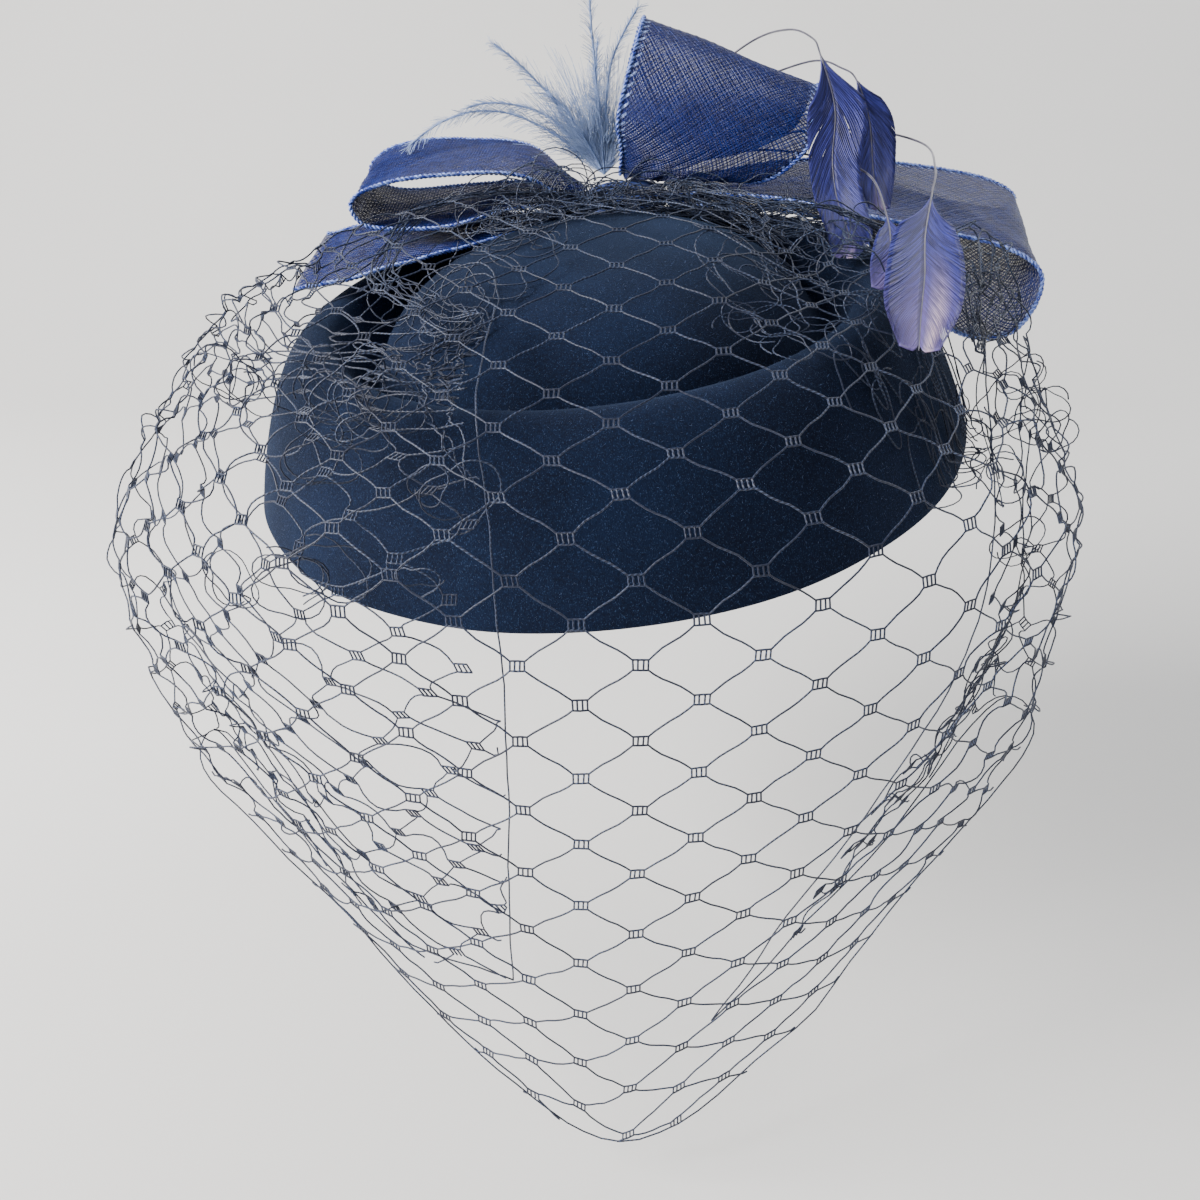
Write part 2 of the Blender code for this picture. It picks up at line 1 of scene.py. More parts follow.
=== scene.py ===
"""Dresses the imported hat: felt and nap, face net, braid loops, plume and leaf feathers.

Metres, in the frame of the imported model: +Z up, the hat's front towards -Y, and the origin at the
centre of the felt's lower edge.
"""

from __future__ import annotations

import logging
import math
from dataclasses import dataclass, field
from enum import Enum
from typing import Any, Iterable, Sequence

import bmesh
import bpy
import numpy as np
from mathutils import Matrix, Vector, noise

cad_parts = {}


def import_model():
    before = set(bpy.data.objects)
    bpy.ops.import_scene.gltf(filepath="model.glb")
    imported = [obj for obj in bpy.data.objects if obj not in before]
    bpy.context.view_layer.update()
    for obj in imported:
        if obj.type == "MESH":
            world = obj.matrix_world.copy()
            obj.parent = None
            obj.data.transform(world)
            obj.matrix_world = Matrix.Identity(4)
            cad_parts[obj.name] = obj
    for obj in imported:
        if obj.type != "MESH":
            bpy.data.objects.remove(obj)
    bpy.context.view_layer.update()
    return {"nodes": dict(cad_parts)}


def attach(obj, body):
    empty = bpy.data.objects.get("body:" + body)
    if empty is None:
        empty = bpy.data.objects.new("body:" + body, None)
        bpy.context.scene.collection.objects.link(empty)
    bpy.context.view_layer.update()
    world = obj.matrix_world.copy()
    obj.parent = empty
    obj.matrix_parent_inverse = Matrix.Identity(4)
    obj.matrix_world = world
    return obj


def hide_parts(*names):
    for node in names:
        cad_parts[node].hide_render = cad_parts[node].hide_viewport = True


MM = 0.001
LOG = logging.getLogger("hat")

Colour = tuple[float, float, float]
Rows = Sequence[Sequence[float]]
Span = tuple[float, float]

BRAID_WIDTH = 52 * MM

# Blender takes the seed of its noise vectors from the clock unless a script sets one.
NOISE_SEED = 7


class Body(Enum):
    """The bodies that a piece may ride on."""

    ROOT = "root"


class Slot(Enum):
    """Names for material slots, which nothing in this script uses."""

    FELT = "felt"
    NET = "net"
    CRIN = "crin"
    LEAF = "leaf_feather"
    OSTRICH = "ostrich"


# Shared shapes


def smooth_through(rows: Rows, place: float) -> list[float]:
    """Reads a smooth curve through rows of numbers.

    Args:
        rows: Numbers at even steps along the curve.
        place: Where to read, from 0 to 1.

    Returns:
        The numbers at that place.
    """
    reach = min(max(place, 0.0), 1.0) * (len(rows) - 1)
    step = min(int(reach), len(rows) - 2)
    t = reach - step
    before, start, end = rows[max(step - 1, 0)], rows[step], rows[step + 1]
    after = rows[min(step + 2, len(rows) - 1)]
    found = []
    for a, b, c, d in zip(before, start, end, after):
        bend = 2 * a - 5 * b + 4 * c - d
        found.append(b + 0.5 * t * (c - a + t * (bend + t * (3 * (b - c) + d - a))))
    return found


@dataclass(frozen=True)
class HatForm:
    """The hat's sizes and where its trims leave the binding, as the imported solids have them."""

    rim_radius: float = 95 * MM
    wall_height: float = 40 * MM
    crown_rise: float = 14 * MM
    groove_depth: float = 13 * MM
    felt_thickness: float = 2.6 * MM
    crown_oval: float = 0.045
    knot_x: float = 0.10
    knot_y: float = 0.55
    knot_size: tuple[float, float, float] = (26 * MM, 16 * MM, 11 * MM)
    knot_pleats: int = 10
    pleat_depth: float = 0.06
    gap: float = 0.3 * MM
    tilt_forward: float = math.radians(6.5)
    tilt_side: float = math.radians(6.3)
    # Radius, wall, rise and groove, as shares of the four sizes above
    profile: tuple[tuple[float, float, float, float], ...] = (
        (0.000, 1.00, 1.00, 0.00),
        (0.170, 1.00, 0.96, 0.00),
        (0.330, 1.00, 0.78, 0.00),
        (0.460, 1.00, 0.42, 0.00),
        (0.540, 1.00, 0.00, 0.00),
        (0.585, 1.00, 0.00, 0.45),
        (0.612, 1.00, 0.00, 0.86),
        (0.640, 1.00, 0.00, 1.00),
        (0.668, 1.00, 0.00, 0.84),
        (0.690, 1.00, 0.00, 0.42),
        (0.717, 1.00, 0.00, 0.10),
        (0.757, 1.00, 0.00, 0.00),
        (0.806, 0.96, 0.00, 0.00),
        (0.855, 0.84, 0.00, 0.00),
        (0.897, 0.67, 0.00, 0.00),
        (0.937, 0.46, 0.00, 0.00),
        (0.973, 0.22, 0.00, 0.00),
        (1.000, 0.00, 0.00, 0.00),
    )

    @property
    def tilt(self) -> Matrix:
        """How the hat is worn: leaning forward and to one side."""
        return Matrix.Rotation(self.tilt_forward, 4, "X") @ Matrix.Rotation(-self.tilt_side, 4, "Y")

    def profile_point(self, row: Sequence[float]) -> tuple[float, float]:
        """Radius and height of one row of the profile.

        Args:
            row: Shares of the radius, wall, crown rise and groove.

        Returns:
            Radius and height, in metres.
        """
        radius, wall, rise, groove = row
        height = wall * self.wall_height + rise * self.crown_rise - groove * self.groove_depth
        return radius * self.rim_radius, height

    def felt_height(self, radius: float) -> float:
        """Height of the felt's outer face at a radius.

        Args:
            radius: Distance from the hat's own axis.

        Returns:
            The height above the lower edge, 0 outside it.
        """
        points = [self.profile_point(row) for row in self.profile]
        for (inner, low), (outer, high) in zip(points, points[1:]):
            if inner <= radius <= outer:
                return low + (high - low) * (radius - inner) / (outer - inner)
        return 0.0

    def knot_middle(self) -> Vector:
        """Finds the middle of the binding.

        Returns:
            The place, in the hat's own tilted frame.
        """
        place = Vector((self.knot_x * self.rim_radius, self.knot_y * self.rim_radius, 0.0))
        front = place.length - 0.35 * self.knot_size[1]
        place.z = self.felt_height(front) + self.knot_size[2] / 2
        return place

    def knot_side(self, direction: Sequence[float], clear: float = 0.0) -> Vector:
        """A place on the binding, from its middle.

        Args:
            direction: Which way to look from the middle.
            clear: How far out from the surface.

        Returns:
            The place, counted from the binding's middle.
        """
        unit = Vector(direction).normalized()
        pleat = 1.0 + self.pleat_depth * math.cos(self.knot_pleats * math.atan2(unit.y, unit.z))
        half = Vector(self.knot_size) / 2
        outward = Vector((unit.x / half.x, unit.y / half.y, unit.z / half.z)).normalized()
        return unit * Vector((1, pleat, pleat)) * half + outward * clear

    def at_knot(self, place: Vector) -> Vector:
        """World place of a place counted from the binding's middle."""
        return self.tilt @ (self.knot_middle() + place)


HAT = HatForm()


# Making pieces


def mesh_piece(
    name: str, verts: Iterable[Sequence[float]], faces: Iterable[Sequence[int]]
) -> bpy.types.Object:
    """Makes a smooth-shaded mesh object at the origin.

    Args:
        name: The piece's name.
        verts: World places.
        faces: Corner numbers of each face.

    Returns:
        The new object.
    """
    mesh = bpy.data.meshes.new(name)
    mesh.from_pydata([tuple(v) for v in verts], [], [tuple(f) for f in faces])
    mesh.validate()
    mesh.shade_smooth()
    piece = bpy.data.objects.new(name, mesh)
    bpy.context.scene.collection.objects.link(piece)
    return piece


def line_piece(name: str, lines: Iterable[Sequence[Vector]]) -> bpy.types.Object:
    """Makes a mesh of open lines, for a plan to follow.

    Args:
        name: The object's name.
        lines: Places along each line.

    Returns:
        The new object.
    """
    verts: list[tuple[float, ...]] = []
    edges: list[tuple[int, int]] = []
    for line in lines:
        start = len(verts)
        verts += [tuple(point) for point in line]
        edges += [(start + i, start + i + 1) for i in range(len(line) - 1)]
    mesh = bpy.data.meshes.new(name)
    mesh.from_pydata(verts, edges, [])
    piece = bpy.data.objects.new(name, mesh)
    bpy.context.scene.collection.objects.link(piece)
    return piece


def set_uv(piece: bpy.types.Object, places: Sequence[tuple[float, float]]) -> None:
    """Lays a UV map on a piece.

    Args:
        piece: The piece, a mesh.
        places: One place on the map for each point.
    """
    layer = piece.data.uv_layers.new(name="UVMap")
    for loop in piece.data.loops:
        layer.data[loop.index].uv = places[loop.vertex_index]


def settle(
    piece: bpy.types.Object, material: bpy.types.Material | None = None
) -> bpy.types.Object:
    """Puts a finished piece on its body.

    Args:
        piece: The piece.
        material: The finish, or nothing where the piece has it already.

    Returns:
        The same piece.
    """
    if material is not None:
        piece.data.materials.clear()
        piece.data.materials.append(material)
    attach(piece, Body.ROOT.value)
    return piece


class Plan:
    """A Geometry Nodes tree with named inputs, built in the script."""

    def __init__(self, name: str) -> None:
        """Starts a tree that takes geometry and gives geometry.

        Args:
            name: The tree's name.
        """
        self.tree = bpy.data.node_groups.new(name, "GeometryNodeTree")
        for way in ("INPUT", "OUTPUT"):
            self.tree.interface.new_socket("Geometry", in_out=way, socket_type="NodeSocketGeometry")
        self.entry = self.tree.nodes.new("NodeGroupInput")
        self.leave = self.tree.nodes.new("NodeGroupOutput")

    def size(self, name: str, value: float | int) -> bpy.types.NodeSocket:
        """Adds a named number to the tree's inputs.

        Args:
            name: The input's name.
            value: Its usual value, whole or not.

        Returns:
            The input's socket.
        """
        kind = "NodeSocketInt" if isinstance(value, int) else "NodeSocketFloat"
        made = self.tree.interface.new_socket(name, in_out="INPUT", socket_type=kind)
        made.default_value = value
        return self.entry.outputs[name]

    def node(
        self, kind: str, settings: dict[str, Any] | None = None,
        inputs: dict[Any, Any] | None = None
    ) -> bpy.types.Node:
        """Adds a node.

        Args:
            kind: Blender's name for the node.
            settings: Properties, set first.
            inputs: Values or links for its sockets, by name or number.

        Returns:
            The node.
        """
        made = self.tree.nodes.new(kind)
        for key, value in (settings or {}).items():
            setattr(made, key, value)
        for key, value in (inputs or {}).items():
            if isinstance(value, bpy.types.Node):
                value = value.outputs[0]
            if isinstance(value, bpy.types.NodeSocket):
                self.tree.links.new(value, made.inputs[key])
            else:
                made.inputs[key].default_value = value
        return made

    def math(self, operation: str, a: Any, b: Any = 0.0) -> bpy.types.Node:
        """Adds a Math node on two values."""
        return self.node("ShaderNodeMath", {"operation": operation}, {0: a, 1: b})

    def finish(self, geometry: bpy.types.Node, material: bpy.types.Material) -> None:
        """Ends the tree in Realize Instances and Set Material.

        Args:
            geometry: The node whose geometry is the result.
            material: The finish to dress it in.
        """
        real = self.node("GeometryNodeRealizeInstances", inputs={"Geometry": geometry})
        dressed = self.node(
            "GeometryNodeSetMaterial", inputs={"Geometry": real, "Material": material}
        )
        self.tree.links.new(dressed.outputs[0], self.leave.inputs[0])

    def grow(
        self, name: str, source: bpy.types.Object, sizes: dict[str, float | int]
    ) -> bpy.types.Object:
        """Runs the tree on an object and keeps the result as a plain mesh.

        Args:
            name: The finished piece's name.
            source: What the tree works on, which is removed afterwards.
            sizes: Values for the named inputs.

        Returns:
            The finished piece, without a modifier.
        """
        modifier = source.modifiers.new("Plan", "NODES")
        modifier.node_group = self.tree
        for item in self.tree.interface.items_tree:
            if item.in_out == "INPUT" and item.name in sizes:
                modifier[item.identifier] = sizes[item.name]
        seen = bpy.context.evaluated_depsgraph_get()
        mesh = bpy.data.meshes.new_from_object(source.evaluated_get(seen), depsgraph=seen)
        source.modifiers.remove(modifier)
        bpy.data.objects.remove(source, do_unlink=True)
        mesh.name = name
        piece = bpy.data.objects.new(name, mesh)
        bpy.context.scene.collection.objects.link(piece)
        return piece


def thread_plan(material: bpy.types.Material, sides: int = 5) -> Plan:
    """Plans a tree that turns lines into threads.

    Each point keeps how far along and around its thread it is, for the finish.

    Args:
        material: The finish to dress it in.
        sides: Sides of a thread's section.

    Returns:
        The tree.
    """
    plan = Plan("threads")
    radius = plan.size("Radius", 0.2 * MM)
    waver = plan.size("Waver", 0.0)
    seed = plan.size("Seed", 0.0)
    curve = plan.node("GeometryNodeMeshToCurve", inputs={"Mesh": plan.entry.outputs["Geometry"]})
    wobble = plan.node(
        "ShaderNodeTexNoise", {"noise_dimensions": "4D"}, {
            "W": seed, "Scale": 160.0, "Detail": 1.0
        },
    )
    centred = plan.node(
        "ShaderNodeVectorMath", {"operation": "SUBTRACT"},
        {0: wobble.outputs["Color"], 1: (0.5, 0.5, 0.5)}
    )
    offset = plan.node("ShaderNodeVectorMath", {"operation": "SCALE"}, {0: centred, "Scale": waver})
    moved = plan.node("GeometryNodeSetPosition", inputs={"Geometry": curve, "Offset": offset})
    along = plan.node("GeometryNodeSplineParameter")
    kept = plan.node(
        "GeometryNodeStoreNamedAttribute", {"data_type": "FLOAT", "domain": "POINT"},
        {"Geometry": moved, "Name": "along", "Value": along.outputs["Length"]},
    )
    ring = plan.node(
        "GeometryNodeCurvePrimitiveCircle", inputs={"Resolution": sides, "Radius": radius}
    )
    turn = plan.node("GeometryNodeSplineParameter")
    round_it = plan.node(
        "GeometryNodeStoreNamedAttribute", {"data_type": "FLOAT", "domain": "POINT"},
        {"Geometry": ring, "Name": "around", "Value": turn.outputs["Factor"]},
    )
    tube = plan.node(
        "GeometryNodeCurveToMesh", inputs={
            "Curve": kept, "Profile Curve": round_it, "Fill Caps": True
        },
    )
    smooth = plan.node("GeometryNodeSetShadeSmooth", inputs={"Geometry": tube})
    plan.finish(smooth, material)
    return plan


# Finishes


@dataclass
class Tone:
    """A shader socket that takes part in Python expressions."""

    sheet: "Sheet"
    socket: bpy.types.NodeSocket

    def _with(self, operation: str, *terms: Any) -> "Tone":
        """Adds one Math node on this and other values."""
        return self.sheet.node("ShaderNodeMath", {"operation": operation}, dict(enumerate(terms)))

    def __add__(self, other: Any) -> "Tone":
        """This plus another."""
        return self._with("ADD", self, other)

    def __radd__(self, other: Any) -> "Tone":
        """Another plus this."""
        return self._with("ADD", other, self)

    def __sub__(self, other: Any) -> "Tone":
        """This less another."""
        return self._with("SUBTRACT", self, other)

    def __rsub__(self, other: Any) -> "Tone":
        """Another less this."""
        return self._with("SUBTRACT", other, self)

    def __mul__(self, other: Any) -> "Tone":
        """This times another."""
        return self._with("MULTIPLY", self, other)

    def __rmul__(self, other: Any) -> "Tone":
        """Another times this."""
        return self._with("MULTIPLY", other, self)

    def sine(self) -> "Tone":
        """Sine of this."""
        return self._with("SINE", self)

    def size(self) -> "Tone":
        """This without its sign."""
        return self._with("ABSOLUTE", self)

    def higher(self, other: Any) -> "Tone":
        """The higher of this and another."""
        return self._with("MAXIMUM", self, other)

    def step(self, low: float, high: float) -> "Tone":
        """This stretched and eased between two values.

        Args:
            low: What gives 0.
            high: What gives 1.

        Returns:
            The result, held from 0 to 1.
        """
        return self.sheet.node(
            "ShaderNodeMapRange", {"interpolation_type": "SMOOTHSTEP"},
            {"Value": self, "From Min": low, "From Max": high},
        )


class Sheet:
    """The node sheet of one material."""

    def __init__(self, name: str) -> None:
        """Starts a material with an empty Principled surface.

        Args:
            name: The material's name.
        """
        self.material = bpy.data.materials.new(name)
        self.material.use_nodes = True
        self.tree = self.material.node_tree
        self.shader = self.tree.nodes["Principled BSDF"]

    def node(
        self, kind: str, settings: dict[str, Any] | None = None,
        inputs: dict[Any, Any] | None = None, output: int | str = 0,
    ) -> Tone:
        """Adds a node.

        Args:
            kind: Blender's name for the node.
            settings: Properties, set first.
            inputs: Values or links for its sockets, by name or number.
            output: Which output to give.

        Returns:
            The chosen output.
        """
        made = self.tree.nodes.new(kind)
        for key, value in (settings or {}).items():
            setattr(made, key, value)
        for key, value in (inputs or {}).items():
            self.feed(made.inputs[key], value)
        return Tone(self, made.outputs[output])

    def feed(self, socket: bpy.types.NodeSocket, value: Any) -> None:
        """Sets a socket to a value, or links it.

        Args:
            socket: The socket.
            value: A number, a colour or another socket.
        """
        if isinstance(value, Tone):
            self.tree.links.new(value.socket, socket)
        elif socket.type == "RGBA" and len(value) == 3:
            socket.default_value = (*value, 1.0)
        else:
            socket.default_value = value

    def place(self, kind: str = "Object") -> Tone:
        """Object or UV coordinates."""
        return self.node("ShaderNodeTexCoord", output=kind)

    def read(self, name: str) -> Tone:
        """A named attribute."""
        return self.node("ShaderNodeAttribute", {"attribute_name": name}, output="Fac")

    def noise(self, at: Tone, scale: float, detail: float = 2.0, rough: float = 0.5) -> Tone:
        """Noise about a place.

        Args:
            at: The place.
            scale: How close the noise is.
            detail: How many finer layers it has.
            rough: How strong those are.

        Returns:
            The noise, from 0 to 1.
        """
        return self.node(
            "ShaderNodeTexNoise",
            inputs={"Vector": at, "Scale": scale, "Detail": detail, "Roughness": rough}
        )

    def stretched(self, at: Tone, scale: Sequence[float]) -> Tone:
        """A place stretched along its axes."""
        return self.node("ShaderNodeMapping", inputs={"Vector": at, "Scale": scale})

    def blend(self, share: Any, low: Any, high: Any) -> Tone:
        """Blends two colours.

        Args:
            share: How much of the second.
            low: The first.
            high: The second.

        Returns:
            The colour.
        """
        return self.node(
            "ShaderNodeMix", {"data_type": "RGBA"}, {"Factor": share, 6: low, 7: high}, output=2,
        )

    def bump(self, height: Tone, strength: float, distance: float) -> Tone:
        """Bumps the surface.

        Args:
            height: The relief.
            strength: How much of it shows.
            distance: Its full height.

        Returns:
            The bumped normal.
        """
        return self.node(
            "ShaderNodeBump", inputs={"Height": height, "Strength": strength, "Distance": distance},
            output=0
        )

    def dress(self, **values: Any) -> bpy.types.Material:
        """Feeds the surface's sockets.

        Args:
            values: Values or links by socket, with underscores for spaces.

        Returns:
            The finished material.
        """
        for key, value in values.items():
            self.feed(self.shader.inputs[key.replace("_", " ")], value)
        return self.material


@dataclass(frozen=True)
class FeltFinish:
    """Blocked wool felt: close nap with pale and dark fibres."""

    deep: Colour = (0.0016, 0.0036, 0.0120)
    mid: Colour = (0.0036, 0.0092, 0.0290)
    pale: Colour = (0.0450, 0.0820, 0.1750)

    def make(self) -> bpy.types.Material:
        """Builds the material.

        Returns:
            The material.
        """
        sheet = Sheet("wool_felt")
        at = sheet.place()
        cloud = sheet.noise(at, 38.0, 3.0)
        grain = sheet.noise(at, 1500.0, 4.0, 0.7)
        fleck = sheet.noise(sheet.stretched(at, (1.0, 1.0, 0.6)), 4200.0, 2.0)
        body = sheet.blend((grain * 0.65 + cloud * 0.35).step(0.34, 0.66), self.deep, self.mid)
        colour = sheet.blend(fleck.step(0.56, 0.76) * 0.50, body, self.pale)
        height = grain * 0.6 + fleck * 0.4
        return sheet.dress(
            Base_Color=colour, Roughness=0.92, Specular_IOR_Level=0.12, Sheen_Weight=0.10,
            Sheen_Roughness=0.38, Sheen_Tint=(0.20, 0.33, 0.62, 1.0), Normal=sheet.bump(
                height, 0.55, 0.5 * MM
            ),
        )


@dataclass(frozen=True)
class ThreadFinish:
    """Twisted rayon thread: dark navy, with a painted highlight on the turn of each of its plies.
    """

    name: str = "net_thread"
    dark: Colour = (0.0060, 0.0100, 0.0280)
    # Colour of the painted highlight laid on the turn of each of the plies
    pale: Colour = (0.0800, 0.1120, 0.2000)
    turn: float = 1.1 * MM

    def make(self) -> bpy.types.Material:
        """Builds the material.

        Returns:
            The material.
        """
        sheet = Sheet(self.name)
        along, around = sheet.read("along"), sheet.read("around")
        ply_twist_and_highlight = (along * (math.tau / self.turn) + around * math.tau).sine() * 0.5 + 0.5
        drift = sheet.noise(sheet.place(), 90.0, 2.0)
        # Painted highlight: pale colour on the turn of each of the plies, broken up by noise; the
        # same twist also drives a real bump
        colour = sheet.blend(
            ply_twist_and_highlight.step(0.45, 0.95) * drift.step(0.30, 0.70) * 0.65, self.dark, self.pale
        )
        return sheet.dress(
            Base_Color=colour, Roughness=0.48, Specular_IOR_Level=0.4,
            Normal=sheet.bump(ply_twist_and_highlight, 0.6, 0.08 * MM),
        )


@dataclass(frozen=True)
class CrinFinish:
    """Woven horsehair braid: crossing glossy filaments with open gaps, denser at the edges, and
    painted glints.
    """

    name: str = "horsehair_braid"
    deep: Colour = (0.0022, 0.0052, 0.066)
    bright: Colour = (0.0056, 0.0150, 0.125)
    # Colour of the painted glints on the strands and along the edge hatching
    painted_glint: Colour = (0.360, 0.480, 0.900)
    pitch: float = 1.20 * MM
    edge: float = 2.4 * MM
    strand_width: float = 0.62
    hatch_along: float = 2.2 * MM
    hatch_across: float = 3.0 * MM
    # Shares of painted glint on the strands and along the edge hatching
    glint: float = 0.5
    edge_glint: float = 0.75
    least_cover: float = 0.76
    strand_cover: float = 0.20
    edge_cover: float = 0.94

    def make(self, width: float) -> bpy.types.Material:
        """Builds the material.

        Args:
            width: Flat width of the braid, which its UV map runs across.

        Returns:
            The material.
        """
        sheet = Sheet(self.name)
        across = sheet.node("ShaderNodeSeparateXYZ", inputs={0: sheet.place("UV")})
        along = Tone(sheet, across.socket.node.outputs[1])
        drift = (sheet.noise(sheet.place("UV"), 120.0, 2.0) - 0.5) * (0.9 * MM)
        turns = math.pi / self.pitch
        one = ((across + along + drift) * turns).sine().size()
        two = ((across - along + drift) * turns).sine().size()
        strand = (1.0 - one).higher(1.0 - two)
        solid = strand.step(0.30, self.strand_width)
        centre = (across - width / 2).size()
        border = centre.step(width / 2 - self.edge, width / 2 - self.edge * 0.7)
        turn = along * (math.tau / self.hatch_along) + centre * (math.tau / self.hatch_across)
        hatch_relief_and_glint = turn.sine() * 0.5 + 0.5
        colour = sheet.blend(strand.step(0.45, 1.0), self.deep, self.bright)
        # Painted glints: pale spots on the strands and pale lines on the edge hatching stand in for
        # highlights; the hatching also drives a real bump
        glint_spots = sheet.noise(sheet.stretched(sheet.place("UV"), (900.0, 900.0, 1.0)), 1.0, 2.0)
        colour = sheet.blend(glint_spots.step(0.62, 0.80) * strand * self.glint, colour, self.painted_glint)
        colour = sheet.blend(border * hatch_relief_and_glint.step(0.55, 0.95) * self.edge_glint, colour, self.painted_glint)
        alpha = (solid * self.strand_cover + self.least_cover).higher(border * self.edge_cover)
        height = strand + border * hatch_relief_and_glint
        return sheet.dress(
            Base_Color=colour, Roughness=0.36, Specular_IOR_Level=0.25, Alpha=alpha,
            Normal=sheet.bump(height, 0.8, 0.25 * MM),
        )


@dataclass(frozen=True)
class LeafFinish:
    """Dyed goose vane: fine barbs, violet blue, fading to pink and silver low down."""

    name: str = "leaf_vane"
    deep: Colour = (0.007, 0.008, 0.062)
    mid: Colour = (0.032, 0.036, 0.215)
    fade: Colour = (0.140, 0.100, 0.265)
    streak: Colour = (0.560, 0.420, 0.480)
    fade_from: float = 0.22

    def make(self) -> bpy.types.Material:
        """Builds the material.

        Returns:
            The material.
        """
        sheet = Sheet(self.name)
        down, side, barb = sheet.read("down"), sheet.read("side"), sheet.read("barb")
        at = sheet.node("ShaderNodeCombineXYZ", inputs={0: barb * 0.9, 1: side * 0.6})
        lines = sheet.noise(at, 3.0)
        colour = sheet.blend(lines.step(0.35, 0.65), self.deep, self.mid)
        low = down.step(self.fade_from, 1.0)
        colour = sheet.blend(low * 0.62, colour, self.fade)
        band = (1.0 - ((side - 0.45) * 3.2).size()).higher(0.0)
        colour = sheet.blend(low * band * lines.step(0.30, 0.60) * 0.9, colour, self.streak)
        fine = (barb * math.tau).sine() * 0.5 + lines
        return sheet.dress(
            Base_Color=colour, Roughness=0.44, Specular_IOR_Level=0.4,
            Normal=sheet.bump(fine, 0.35, 0.15 * MM),
        )


@dataclass(frozen=True)
class HairFinish:
    """Fine soft fibre, such as ostrich flue, quill or loose nap."""

    name: str
    root: Colour
    tip: Colour
    rough: float = 0.6
    scale: float = 120.0
    sheen: float = 0.3

    def make(self) -> bpy.types.Material:
        """Builds the material.

        Returns:
            The material.
        """
        sheet = Sheet(self.name)
        at = sheet.place()
        share = sheet.noise(at, self.scale, 3.0).step(0.35, 0.65)
        fine = sheet.noise(at, self.scale * 12, 2.0)
        return sheet.dress(
            Base_Color=sheet.blend(
                share, self.root, self.tip
            ), Roughness=self.rough, Sheen_Weight=self.sheen,
            Normal=sheet.bump(fine, 0.3, 0.1 * MM),
        )


LOOSE_NAP = HairFinish(
    "loose_nap", (0.010, 0.026, 0.085), (0.070, 0.130, 0.290), rough=0.7, scale=900.0,
)
GATHERED_BRAID = HairFinish(
    "gathered_braid", (0.005, 0.012, 0.070), (
        0.034, 0.065, 0.230
    ), rough=0.4, scale=500.0, sheen=0.1,
)
EDGE_CORD = HairFinish(
    "edge_cord", (0.016, 0.034, 0.240), (0.200, 0.290, 0.660), rough=0.3, scale=700.0, sheen=0.0,
)
BRAID_FILAMENT = HairFinish(
    "braid_filament", (0.0014, 0.0040, 0.048), (0.0095, 0.0240, 0.155),
    rough=0.36, scale=420.0, sheen=0.0,
)
DARK_QUILL = HairFinish(
    "dark_quill", (0.020, 0.020, 0.045), (0.060, 0.055, 0.090), rough=0.35, scale=300.0,
)
OSTRICH_FLUE = HairFinish(
    "ostrich_flue", (0.150, 0.230, 0.440), (0.330, 0.430, 0.660), rough=0.7, scale=80.0,
)
OSTRICH_STEM = HairFinish(
    "ostrich_stem", (0.080, 0.130, 0.280), (0.180, 0.260, 0.460), rough=0.6, scale=200.0,
)


@dataclass(frozen=True)
class CombFinish:
    """Moulded comb plastic: near black, with faint flow lines and rubbed edges."""

    base: Colour = (0.010, 0.012, 0.020)
    worn: Colour = (0.045, 0.050, 0.065)

    def make(self) -> bpy.types.Material:
        """Builds the material.

        Returns:
            The material.
        """
        sheet = Sheet("comb_moulding")
        at = sheet.place()
        flow = sheet.noise(sheet.stretched(at, (1.0, 1.0, 0.2)), 260.0, 3.0)
        rub = sheet.noise(at, 900.0, 3.0)
        return sheet.dress(
            Base_Color=sheet.blend(flow.step(0.45, 0.75), self.base, self.worn),
            Roughness=rub.step(0.3, 0.8) * 0.25 + 0.28, Specular_IOR_Level=0.5,
            Normal=sheet.bump(rub, 0.2, 0.05 * MM),
        )


# The felt


